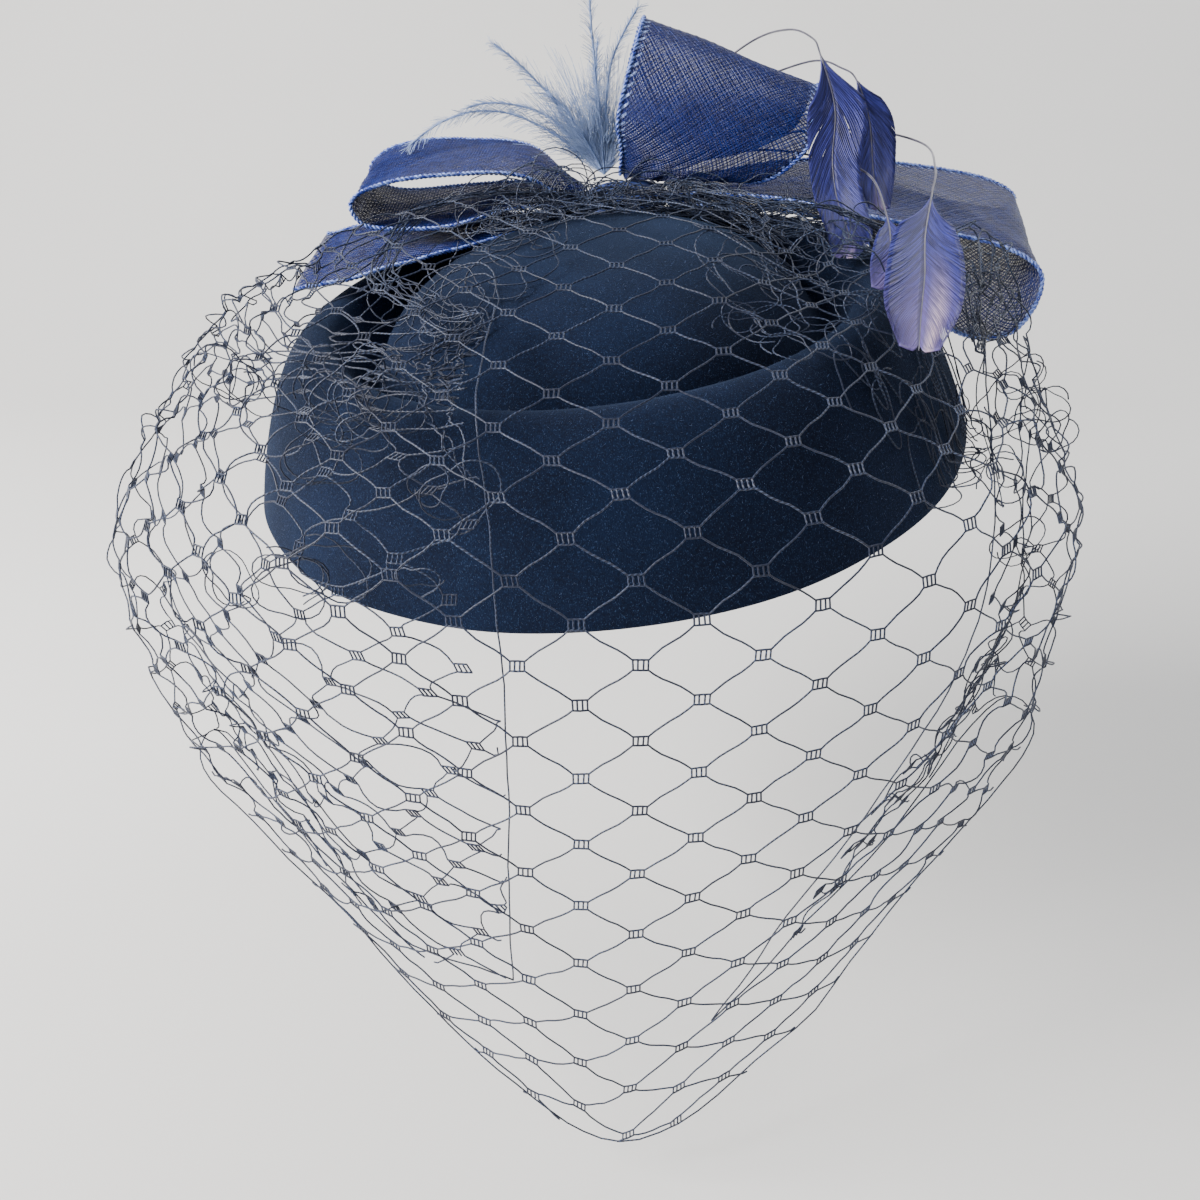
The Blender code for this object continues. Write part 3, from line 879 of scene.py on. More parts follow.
@dataclass
class FeltHat:
    """The blocked felt and its nap."""

    rings: int = 150
    rounds: int = 240
    unevenness: float = 0.35 * MM
    unevenness_scale: float = 28.0
    edge_steps: int = 6
    edge_round: float = 0.55
    nap_density: float = 230000.0
    nap_length: float = 0.9 * MM
    nap_radius: float = 0.022 * MM
    nap_lean: float = 1.25
    nap_sizes: Span = (0.4, 1.2)

    def outline(self) -> list[tuple[float, float]]:
        """Draws the felt's section: over the outside, round the edge, back inside.

        Returns:
            Radius and height of each place, as a closed outline.
        """
        steps = self.rings // 2
        rows = [HAT.profile_point(row) for row in HAT.profile]
        outside = [tuple(smooth_through(rows, i / steps)) for i in range(steps + 1)]
        outside = [(max(r, 0.0), z) for r, z in outside]
        thick = HAT.felt_thickness
        inside = []
        for i, (radius, height) in enumerate(outside):
            before, after = outside[max(i - 1, 0)], outside[min(i + 1, steps)]
            run, rise = after[0] - before[0], after[1] - before[1]
            size = math.hypot(run, rise) or 1.0
            inside.append((max(radius + rise / size * thick, 0.0), height - run / size * thick))
        (out_r, out_z), (in_r, in_z) = outside[-1], inside[-1]
        middle = ((out_r + in_r) / 2, (out_z + in_z) / 2)
        half = Vector((out_r - in_r, out_z - in_z)) / 2
        down = Vector((half.y, -half.x)) * self.edge_round
        edge = []
        for i in range(1, self.edge_steps):
            angle = math.pi * i / self.edge_steps
            place = Vector(middle) + half * math.cos(angle) + down * math.sin(angle)
            edge.append((place.x, place.y))
        return outside + edge + inside[::-1]

    def body(self, material: bpy.types.Material) -> bpy.types.Object:
        """Builds the felt as one closed shell with an uneven, hand-blocked surface.

        Args:
            material: The finish to dress it in.

        Returns:
            The felt.
        """
        outline = self.outline()
        groove = max(HAT.profile, key=lambda row: row[3])[0] * HAT.rim_radius
        verts: list[Vector] = []
        faces: list[tuple[int, ...]] = []
        rings: list[list[int]] = []
        for radius, height in outline:
            if radius < 0.05 * MM:
                rings.append([len(verts)])
                verts.append(HAT.tilt @ Vector((0, 0, height)))
                continue
            ring = []
            share = max(0.0, 1.0 - radius / groove) * min(1.0, radius / groove) * 4
            for i in range(self.rounds):
                angle = math.tau * i / self.rounds
                reach = radius * (1.0 - HAT.crown_oval * math.cos(2 * angle) * share)
                place = Vector((reach * math.cos(angle), reach * math.sin(angle), height))
                bend = noise.noise_vector(place * self.unevenness_scale) * self.unevenness
                ring.append(len(verts))
                verts.append(HAT.tilt @ (place + bend))
            rings.append(ring)
        for here, there in zip(rings, rings[1:]):
            for i in range(self.rounds):
                j = (i + 1) % self.rounds
                if len(here) == 1:
                    faces.append((here[0], there[i], there[j]))
                elif len(there) == 1:
                    faces.append((here[i], there[0], here[j]))
                else:
                    faces.append((here[i], there[i], there[j], here[j]))
        piece = mesh_piece("hat_felt", verts, faces)
        settle(piece, material)
        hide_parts("felt_body")
        return piece

    def nap(self, felt: bpy.types.Object, material: bpy.types.Material) -> bpy.types.Object:
        """Scatters short loose fibres over the felt.

        Args:
            felt: The felt.
            material: The finish to dress it in.

        Returns:
            The fibres, as one piece.
        """
        plan = Plan("felt_nap")
        density, length = plan.size("Density", 1.0), plan.size("Length", 1.0)
        points = plan.node(
            "GeometryNodeDistributePointsOnFaces", {"distribute_method": "RANDOM"},
            {"Mesh": plan.entry.outputs["Geometry"], "Density": density, "Seed": 11},
        )
        cone = plan.node(
            "GeometryNodeMeshCone",
            inputs={
                "Vertices": 3, "Radius Top": 0.0, "Radius Bottom": self.nap_radius, "Depth": length
            },
        )
        lean = plan.node(
            "FunctionNodeRandomValue", {"data_type": "FLOAT_VECTOR"},
            {
                0: (-self.nap_lean, -self.nap_lean, 0.0),
                1: (self.nap_lean, self.nap_lean, math.tau), "Seed": 5
            },
        )
        leaning = plan.node("FunctionNodeEulerToRotation", inputs={0: lean})
        turned = plan.node(
            "FunctionNodeRotateRotation", {"rotation_space": "LOCAL"},
            {0: points.outputs["Rotation"], 1: leaning},
        )
        least, most = self.nap_sizes
        size = plan.node(
            "FunctionNodeRandomValue", {"data_type": "FLOAT"}, {2: least, 3: most, "Seed": 8}
        )
        hairs = plan.node(
            "GeometryNodeInstanceOnPoints",
            inputs={
                "Points": points, "Instance": cone, "Rotation": turned, "Scale": size.outputs[1]
            },
        )
        plan.finish(hairs, material)
        copy = felt.copy()
        copy.data = felt.data.copy()
        bpy.context.scene.collection.objects.link(copy)
        piece = plan.grow(
            "felt_nap", copy, {"Density": self.nap_density, "Length": self.nap_length}
        )
        return settle(piece)


# The face net


@dataclass
class FaceNet:
    """Diamond net with laddered joints, hung from the binding and over the face."""

    reach: float = 125 * MM
    drop: float = 138 * MM
    hang: float = 1.6 * MM
    half_width: float = 11.7 * MM
    half_height: float = 8.3 * MM
    ladder_width: float = 3.1 * MM
    ladder_height: float = 2.1 * MM
    thread: float = 0.21 * MM
    front_station: float = 7.05
    brow_level: float = 0.75
    levels: int = 160
    drawn_in: float = 0.30
    fine: int = 4
    calm_columns: float = 4.5
    loose_columns: float = 4.0
    slack: float = 3.4 * MM
    curl: float = 5.0 * MM
    groove_edge: float = 0.757
    station_steps: int = 24
    least_rise: float = 0.45
    root_margin: float = 0.15
    hem_margin: float = 0.05
    least_cell: float = 4 * MM
    row_limit: int = 60
    bars: tuple[float, ...] = (-1.0, -0.36, 0.36, 1.0)
    bar_inset: float = 0.94
    edge_bow: float = 1.02
    link_wave: float = 0.04
    link_shares: tuple[float, ...] = (0.12, 0.30, 0.50, 0.70, 0.88)
    cut_steps: int = 8
    hem_waver: float = 1.2 * MM
    # Columns: root x y z, swell, crest x y z, brow x y z, hem x y z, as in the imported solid
    stations: tuple[tuple[float, ...], ...] = (
        (-0.32, -0.90, 0.03, 0.04, -0.24, -0.92, 1.08, -0.18, -0.81, -0.12, -0.19, -0.82, -0.74),
        (-0.44, -0.82, 0.03, 0.05, -0.56, -0.80, 1.04, -0.50, -0.71, -0.14, -0.42, -0.72, -0.72),
        (-0.58, -0.62, 0.03, 0.06, -0.94, -0.42, 1.00, -0.82, -0.42, -0.16, -0.68, -0.50, -0.60),
        (-0.60, -0.38, 0.09, 0.06, -1.02, 0.10, 1.02, -0.98, -0.20, -0.10, -0.84, -0.36, -0.50),
        (-0.52, -0.22, 0.19, 0.08, -0.92, -0.24, 1.30, -0.97, -0.40, -0.08, -0.82, -0.50, -0.52),
        (-0.34, -0.16, 0.20, 0.10, -0.68, -0.62, 1.26, -0.78, -0.72, -0.06, -0.52, -0.70, -0.69),
        (-0.16, -0.07, 0.08, 0.10, -0.36, -0.88, 1.18, -0.42, -0.91, -0.04, -0.25, -0.87, -0.87),
        (0.00, 0.00, 0.00, 0.10, 0.03, -0.98, 1.14, 0.02, -0.97, -0.03, 0.02, -0.95, -1.00),
        (0.14, -0.09, 0.05, 0.08, 0.42, -0.88, 1.10, 0.44, -0.90, -0.01, 0.32, -0.86, -0.86),
        (0.27, -0.22, 0.12, 0.00, 0.78, -0.62, 0.93, 0.76, -0.68, 0.00, 0.62, -0.66, -0.62),
        (0.40, -0.34, 0.05, -0.02, 1.02, -0.18, 0.92, 0.90, -0.38, -0.02, 0.88, -0.44, -0.48),
        (0.62, -0.38, -0.07, 0.00, 1.16, 0.12, 0.80, 0.90, -0.16, -0.10, 0.83, -0.34, -0.44),
        (0.88, -0.44, -0.45, 0.00, 1.06, -0.10, 0.46, 0.79, -0.42, -0.16, 0.52, -0.62, -0.62),
        (0.84, -0.74, -0.45, 0.00, 0.98, -0.36, 0.46, 0.66, -0.60, -0.20, 0.20, -0.81, -0.84),
    )
    columns: list[int] = field(default_factory=list)
    table: dict[int, tuple[np.ndarray, np.ndarray]] = field(default_factory=dict)
    cloth: np.ndarray = field(default_factory=lambda: np.zeros((0, 0, 3)))

    def spine(self, station: Sequence[float]) -> list[Vector]:
        """Finds the places that one station passes.

        Args:
            station: One row of the stations.

        Returns:
            Five places, from its root to its hem.
        """
        on_hat = Vector((HAT.rim_radius, HAT.rim_radius, HAT.wall_height))
        level = Vector((self.reach, self.reach, self.drop))
        gather = HAT.knot_middle() + HAT.knot_side((0.0, -0.80, 0.60), HAT.gap + self.hang / 2)
        root = HAT.tilt @ (gather + Vector(station[0:3]) * on_hat)
        crest = HAT.tilt @ (Vector(station[4:7]) * on_hat)
        over = root.lerp(crest, 0.5)
        over.z += station[3] * (crest - root).xy.length
        return [root, over, crest, Vector(station[7:10]) * level, Vector(station[10:13]) * level]

    def measure(self) -> None:
        """Lays the lattice over the cloth.

        Columns keep an even distance in plan at each level, and rows follow each link's length.
        """
        last = len(self.stations) - 1
        shares = np.linspace(0.0, 1.0, self.station_steps * last + 1)
        spines = [self.spine(smooth_through(self.stations, share)) for share in shares]
        levels = np.linspace(0.0, 1.0, self.levels + 1)
        self.cloth = np.array(
            [[tuple(smooth_through(spine, level)) for spine in spines] for level in levels]
        )
        front = self.front_station / last
        step = self.half_width / self.fine
        brow = int(round(self.brow_level * self.levels))
        runs = []
        for level, ring in zip(levels, self.cloth):
            steps = np.linalg.norm(np.diff(ring[:, :2], axis=0), axis=1)
            run = np.concatenate([[0.0], np.cumsum(steps)])
            run -= np.interp(front, shares, run)
            runs.append(run / (1.0 - self.drawn_in * max(0.0, 1.0 - 2.0 * level) ** 1.5))
        low, high = math.ceil(runs[brow][0] / step), math.floor(runs[brow][-1] / step)
        places: dict[int, tuple[int, np.ndarray]] = {}
        for k in range(low, high + 1):
            inside = [run[0] <= k * step <= run[-1] for run in runs]
            top, bottom = brow, brow
            while top > 0 and inside[top - 1]:
                top -= 1
            while bottom < self.levels and inside[bottom + 1]:
                bottom += 1
            line = []
            for i in range(top, bottom + 1):
                share = np.interp(k * step, runs[i], shares)
                line.append([np.interp(share, shares, self.cloth[i][:, axis]) for axis in range(3)])
            if len(line) > 3:
                places[k] = (top, np.array(line))
        link = math.hypot(self.half_width, self.half_height)
        for k, (top, line) in places.items():
            wide = np.full(len(line), self.half_width)
            for i in range(len(line)):
                for other in (k + 1, k - 1):
                    start, beside = places.get(other, (0, np.zeros((0, 3))))
                    if 0 <= top + i - start < len(beside):
                        wide[i] = np.linalg.norm(beside[top + i - start] - line[i]) * self.fine
                        break
            rise = np.sqrt(np.maximum(link**2 - wide**2, (self.least_rise * link) ** 2))
            steps = np.linalg.norm(np.diff(line, axis=0), axis=1)
            rows = np.concatenate([[0.0], np.cumsum(steps / ((rise[1:] + rise[:-1]) / 2))])
            self.table[k] = (rows - rows[min(brow - top, len(rows) - 1)], line)
        wide = range(low // self.fine, high // self.fine + 1)
        self.columns = [column for column in wide if column * self.fine in self.table]

    def point(self, column: float, row: float) -> Vector:
        """Finds a place on the net.

        Args:
            column: Its column on the lattice.
            row: Its row.

        Returns:
            The world place.
        """
        scaled = column * self.fine
        left = int(math.floor(scaled))
        right = left + 1
        low, high = min(self.table), max(self.table)
        left, right = min(max(left, low), high), min(max(right, low), high)
        share = min(max(scaled - left, 0.0), 1.0) if right > left else 0.0
        found = []
        for k in (left, right):
            rows, line = self.table[k]
            found.append(Vector([float(np.interp(row, rows, line[:, i])) for i in range(3)]))
        place = found[0].lerp(found[1], share)
        return place + noise.noise_vector(place * 34.0) * self.slack * self.looseness(column)

    def looseness(self, column: float) -> float:
        """How slack the net is at a column: none over the face, full at its sides."""
        return min(max((abs(column) - self.calm_columns) / self.loose_columns, 0.0), 1.0)

    def edge_row(self, column: float, step: int) -> float:
        """Finds where the net ends on a column.

        Args:
            column: The column.
            step: 1 for its hem, -1 for its root.

        Returns:
            The row there.
        """
        low, high = min(self.table), max(self.table)
        place = min(max(column * self.fine, low), high)
        left = int(math.floor(place))
        end = -1 if step > 0 else 0
        here = float(self.table[left][0][end])
        there = float(self.table[min(left + 1, high)][0][end])
        return here + (there - here) * (place - left)

    def cut_link(self, joint: int, row: int, other: int, step: int) -> list[Vector]:
        """Draws the link from a joint towards a missing one, ended at the net's own edge.

        Args:
            joint: The joint's column.
            row: Its row.
            other: The missing joint's column.
            step: 1 where that one is lower, -1 where it is higher.

        Returns:
            Places along the link.
        """
        wide, tall = self.ladder(joint, row)
        line = []
        for i in range(self.cut_steps + 1):
            t = i / self.cut_steps
            column = joint + (other - joint) * (wide + (1 - wide) * t)
            place = row + step * (tall + (1 - tall) * t)
            edge = self.edge_row(column, step)
            past = (place - edge) * step >= 0
            line.append(self.point(column, edge if past else place))
            if past:
                break
        return line

    def edge_line(self) -> list[Vector]:
        """The thread round the cut edge: down one side, along the hem and up the other."""
        round_it = np.concatenate([self.cloth[::2, 0], self.cloth[-1, ::3], self.cloth[::-2, -1]])
        return [Vector(p) + noise.noise_vector(Vector(p) * 40.0) * self.hem_waver for p in round_it]

    def over_felt(self, x: float, y: float, lift: float) -> Vector:
        """Finds a place above the felt, bridging its groove.

        Args:
            x: Across the hat.
            y: Back along it.
            lift: How far above the felt.

        Returns:
            The world place.
        """
        radius = math.hypot(x, y)
        height = HAT.felt_height(radius)
        if radius < HAT.rim_radius * self.groove_edge:
            height = max(height, HAT.wall_height)
        return HAT.tilt @ Vector((x, y, height + lift))

    def holds(self, column: int, row: int) -> bool:
        """Tells whether a joint lies on the net.

        Args:
            column: Its column.
            row: Its row.

        Returns:
            True where it does.
        """
        key = column * self.fine
        if key not in self.table:
            return False
        rows = self.table[key][0]
        return rows[0] + self.root_margin <= row <= rows[-1] - self.hem_margin

    def ladder(self, column: int, row: int) -> tuple[float, float]:
        """Sizes a joint on the lattice.

        Args:
            column: Its column.
            row: Its row.

        Returns:
            Half its width in columns and half its height in rows.
        """
        near = 0.25
        across = self.point(column + near, row) - self.point(column - near, row)
        down = self.point(column, row + near) - self.point(column, row - near)
        wide, tall = across.length / (2 * near), down.length / (2 * near)
        return (
            0.5 * self.ladder_width / max(wide, self.least_cell),
            0.5 * self.ladder_height / max(tall, self.least_cell),
        )

    def threads(self) -> list[list[Vector]]:
        """Draws every thread, joint bar and link.

        Returns:
            Places along each line.
        """
        lines = []
        for row in range(-self.row_limit, self.row_limit):
            for column in self.columns:
                if (column + row) % 2 or not self.holds(column, row):
                    continue
                wide, tall = self.ladder(column, row)
                for share in self.bars:
                    place = column + share * wide * self.bar_inset
                    lines.append([self.point(place, row - tall), self.point(place, row + tall)])
            lines += self.zigzag(row)
        return lines

    def joint_edge(self, column: int, row: int, step: int, side: int) -> list[tuple[float, float]]:
        """Draws the thread along a joint's upper or lower edge.

        Args:
            column: The joint's column.
            row: Its row.
            step: 1 for its lower edge, -1 for its upper.
            side: 1 to run to the right, -1 to the left.

        Returns:
            Three places on the lattice.
        """
        wide, tall = self.ladder(column, row)
        edge = row + step * tall
        return [
            (column - side * wide, edge),
            (column, row + step * tall * self.edge_bow),
            (column + side * wide, edge),
        ]

    def zigzag(self, row: int) -> list[list[Vector]]:
        """Draws the thread between one row of joints and the next.

        Args:
            row: The upper row.

        Returns:
            Its unbroken runs.
        """
        runs: list[list[Vector]] = []
        run: list[Vector] = []
        for column in self.columns:
            upper = column if (column + row) % 2 == 0 else column + 1
            lower = column + 1 if upper == column else column
            above, below = self.holds(upper, row), self.holds(lower, row + 1)
            if not (above and below):
                runs.append(run)
                run = []
                if above and lower * self.fine in self.table:
                    runs.append(self.cut_link(upper, row, lower, 1))
                elif below and upper * self.fine in self.table:
                    runs.append(self.cut_link(lower, row + 1, upper, -1))
                continue
            side = 1 if lower > upper else -1
            top = self.joint_edge(upper, row, 1, side)
            low = self.joint_edge(lower, row + 1, -1, side)
            (x0, y0), (x1, y1) = top[-1], low[0]
            middle = [
                (x0 + (x1 - x0) * t, y0 + (y1 - y0) * (t + self.link_wave * math.sin(math.tau * t)))
                for t in self.link_shares
            ]
            path = (top + middle + low)[::side]
            bow = noise.noise_vector(Vector((upper * 1.7, row * 2.3, side * 0.9)))
            bow *= self.curl * self.looseness((upper + lower) / 2)
            spots = [self.point(*place) for place in path]
            for i in range(len(middle)):
                spots[len(top) + i] += bow * math.sin(math.pi * (i + 1) / (len(middle) + 1))
            run += spots[len(top):] if run else spots
        runs.append(run)
        return [line for line in runs if len(line) > 1]

    def build(self, material: bpy.types.Material) -> bpy.types.Object:
        """Builds the net's threads and joints as one piece.

        Args:
            material: The finish to dress it in.

        Returns:
            The net.
        """
        self.measure()
        lines = self.threads() + [self.edge_line()]
        source = line_piece("net_lines", lines)
        plan = thread_plan(material)
        piece = plan.grow(
            "face_net", source, {"Radius": self.thread, "Waver": 0.9 * MM, "Seed": 3.0}
        )
        settle(piece)
        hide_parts("veil")
        LOG.info("net: %d columns, %d lines", len(self.columns), len(lines))
        return piece


@dataclass(frozen=True)
class CurlPatch:
    """A part of the felt where loose threads curl up, in millimetres."""

    count: int
    across: Span
    back: Span
    standing: float


@dataclass
class NetGather:
    """Loose threads where the net is caught: drawn up, curled, looped at its sides and swept."""

    net: FaceNet
    seed: int = 17
    thread: float = 0.189 * MM
    sides: int = 4
    drawn_count: int = 22
    drawn_steps: int = 70
    drawn_start: Span = (0.0, 0.80)
    drawn_reach: Span = (0.15, 0.40)
    drawn_rows: Span = (0.1, 1.3)
    drawn_sway: float = 3.6 * MM
    curl_steps: int = 44
    curl_radius: Span = (2.5 * MM, 7.5 * MM)
    curl_turns: Span = (0.5, 1.7)
    curl_lift: Span = (1.0 * MM, 4.0 * MM)
    curl_stand: Span = (0.2, 0.9)
    curl_drift: Span = (-9.0 * MM, 9.0 * MM)
    left_loops: int = 22
    right_loops: int = 10
    loop_steps: int = 40
    loop_columns: Span = (0.3, 9.0)
    loop_radius: Span = (4.0 * MM, 7.5 * MM)
    loop_turns: Span = (1.05, 1.6)
    loop_depth: Span = (-4.0 * MM, 4.0 * MM)
    swept_count: int = 26
    swept_steps: int = 60
    swept_out: Span = (10.0 * MM, 20.0 * MM)
    swept_front: Span = (4.0 * MM, 14.0 * MM)
    swept_end_x: Span = (66.0 * MM, 90.0 * MM)
    swept_end_y: Span = (-14.0 * MM, 34.0 * MM)
    swept_rise: Span = (2.0 * MM, 8.0 * MM)
    swept_waves: Span = (1.5, 4.0)
    swept_wave: float = 4.0 * MM

    def patches(self) -> list[CurlPatch]:
        """Lists where threads curl up.

        Returns:
            The patches by the binding, over the left of the groove and over the right.
        """
        x, y, _ = HAT.knot_middle() / MM
        return [
            CurlPatch(105, (x - 32, x + 34), (y - 34, y - 6), 1.0),
            CurlPatch(22, (-48, -8), (-42, 22), 0.7),
            CurlPatch(62, (34, 88), (-58, 34), 0.8),
        ]

    def drawn_up(self, rng: np.random.Generator, number: int) -> list[Vector]:
        """Draws one thread drawn up along the net's top.

        Args:
            rng: Where chance comes from.
            number: The thread's number.

        Returns:
            Places along the thread.
        """
        first, last = self.net.columns[0], self.net.columns[-1]
        start = first + rng.uniform(*self.drawn_start) * (last - first)
        reach = rng.uniform(*self.drawn_reach) * (last - first)
        depth = rng.uniform(*self.drawn_rows)
        line = []
        for i in range(self.drawn_steps):
            column = min(start + reach * i / (self.drawn_steps - 1), last)
            sway = noise.noise_vector(Vector((i * 0.10, number * 5.3, 1.0))) * self.drawn_sway
            sway.z = abs(sway.z)
            line.append(self.net.point(column, self.net.edge_row(column, -1) + depth) + sway)
        return line

    def curled(self, rng: np.random.Generator, patch: CurlPatch) -> list[Vector]:
        """Draws one curl that stands on the felt.

        Args:
            rng: Where chance comes from.
            patch: Where the curl may be, in millimetres.

        Returns:
            Places along the curl.
        """
        x, y = rng.uniform(*patch.across) * MM, rng.uniform(*patch.back) * MM
        radius, phase = rng.uniform(*self.curl_radius), rng.uniform(0.0, math.tau)
        turns, lift = rng.uniform(*self.curl_turns), rng.uniform(*self.curl_lift)
        stand = rng.uniform(*self.curl_stand) * patch.standing
        drift = rng.uniform(*self.curl_drift)
        line = []
        for i in range(self.curl_steps):
            t = i / (self.curl_steps - 1)
            angle = phase + math.tau * turns * t
            reach = radius * (1.0 + 0.35 * math.sin(angle * 1.7))
            spot_x = x + reach * 1.4 * math.cos(angle) + drift * t
            spot_y = y + reach * (1.1 - stand) * math.sin(angle) + drift * t
            rise = lift + stand * reach * (1.0 + math.sin(angle))
            line.append(self.net.over_felt(spot_x, spot_y, rise))
        return line

    def side_loop(self, rng: np.random.Generator, side: int) -> list[Vector]:
        """Draws one loose loop on the net's side.

        Args:
            rng: Where chance comes from.
            side: The net's first or last column.

        Returns:
            Places along the loop.
        """
        column = side - math.copysign(rng.uniform(*self.loop_columns), side)
        row = rng.uniform(self.net.edge_row(column, -1) * 0.9, -1.0)
        centre = self.net.point(column, row)
        radius, phase = rng.uniform(*self.loop_radius), rng.uniform(0.0, math.tau)
        turns, depth = rng.uniform(*self.loop_turns), rng.uniform(*self.loop_depth)
        line = []
        for i in range(self.loop_steps):
            angle = phase + math.tau * turns * i / (self.loop_steps - 1)
            reach = radius * (1.0 + 0.25 * math.sin(angle * 2.3 + phase))
            out = (reach * math.cos(angle), depth * math.sin(angle * 0.7), reach * math.sin(angle))
            line.append(centre + Vector(out))
        return line

    def swept(self, rng: np.random.Generator) -> list[Vector]:
        """Draws one thread swept from the binding over the felt's right side.

        Args:
            rng: Where chance comes from.

        Returns:
            Places along the thread.
        """
        middle = HAT.knot_middle()
        x0 = middle.x + rng.uniform(*self.swept_out)
        y0 = middle.y - rng.uniform(*self.swept_front)
        x1, y1 = rng.uniform(*self.swept_end_x), rng.uniform(*self.swept_end_y)
        phase, rise = rng.uniform(0.0, math.tau), rng.uniform(*self.swept_rise)
        waves = rng.uniform(*self.swept_waves)
        line = []
        for i in range(self.swept_steps):
            t = i / (self.swept_steps - 1)
            wave = math.sin(phase + math.tau * waves * t) * self.swept_wave
            lift = 2.0 * MM + rise * math.sin(math.pi * t) + 1.2 * MM * math.cos(phase + 9 * t)
            spot_x, spot_y = x0 + (x1 - x0) * t + wave, y0 + (y1 - y0) * t + wave * 0.8
            line.append(self.net.over_felt(spot_x, spot_y, lift))
        return line

    def lines(self) -> list[list[Vector]]:
        """Draws every loose thread, from one fixed seed.

        Returns:
            Places along each thread.
        """
        rng = np.random.default_rng(self.seed)
        lines = [self.drawn_up(rng, number) for number in range(self.drawn_count)]
        for patch in self.patches():
            lines += [self.curled(rng, patch) for _ in range(patch.count)]
        lines += [self.side_loop(rng, self.net.columns[0]) for _ in range(self.left_loops)]
        lines += [self.side_loop(rng, self.net.columns[-1]) for _ in range(self.right_loops)]
        lines += [self.swept(rng) for _ in range(self.swept_count)]
        return lines

    def build(self, material: bpy.types.Material) -> bpy.types.Object:
        """Builds the loose threads, after the net itself.

        Args:
            material: The finish to dress them in.

        Returns:
            The threads, as one piece.
        """
        source = line_piece("gather_lines", self.lines())
        sizes = {"Radius": self.thread, "Waver": 1.2 * MM, "Seed": 6.0}
        piece = thread_plan(material, self.sides).grow("net_gather", source, sizes)
        return settle(piece)


# Braid


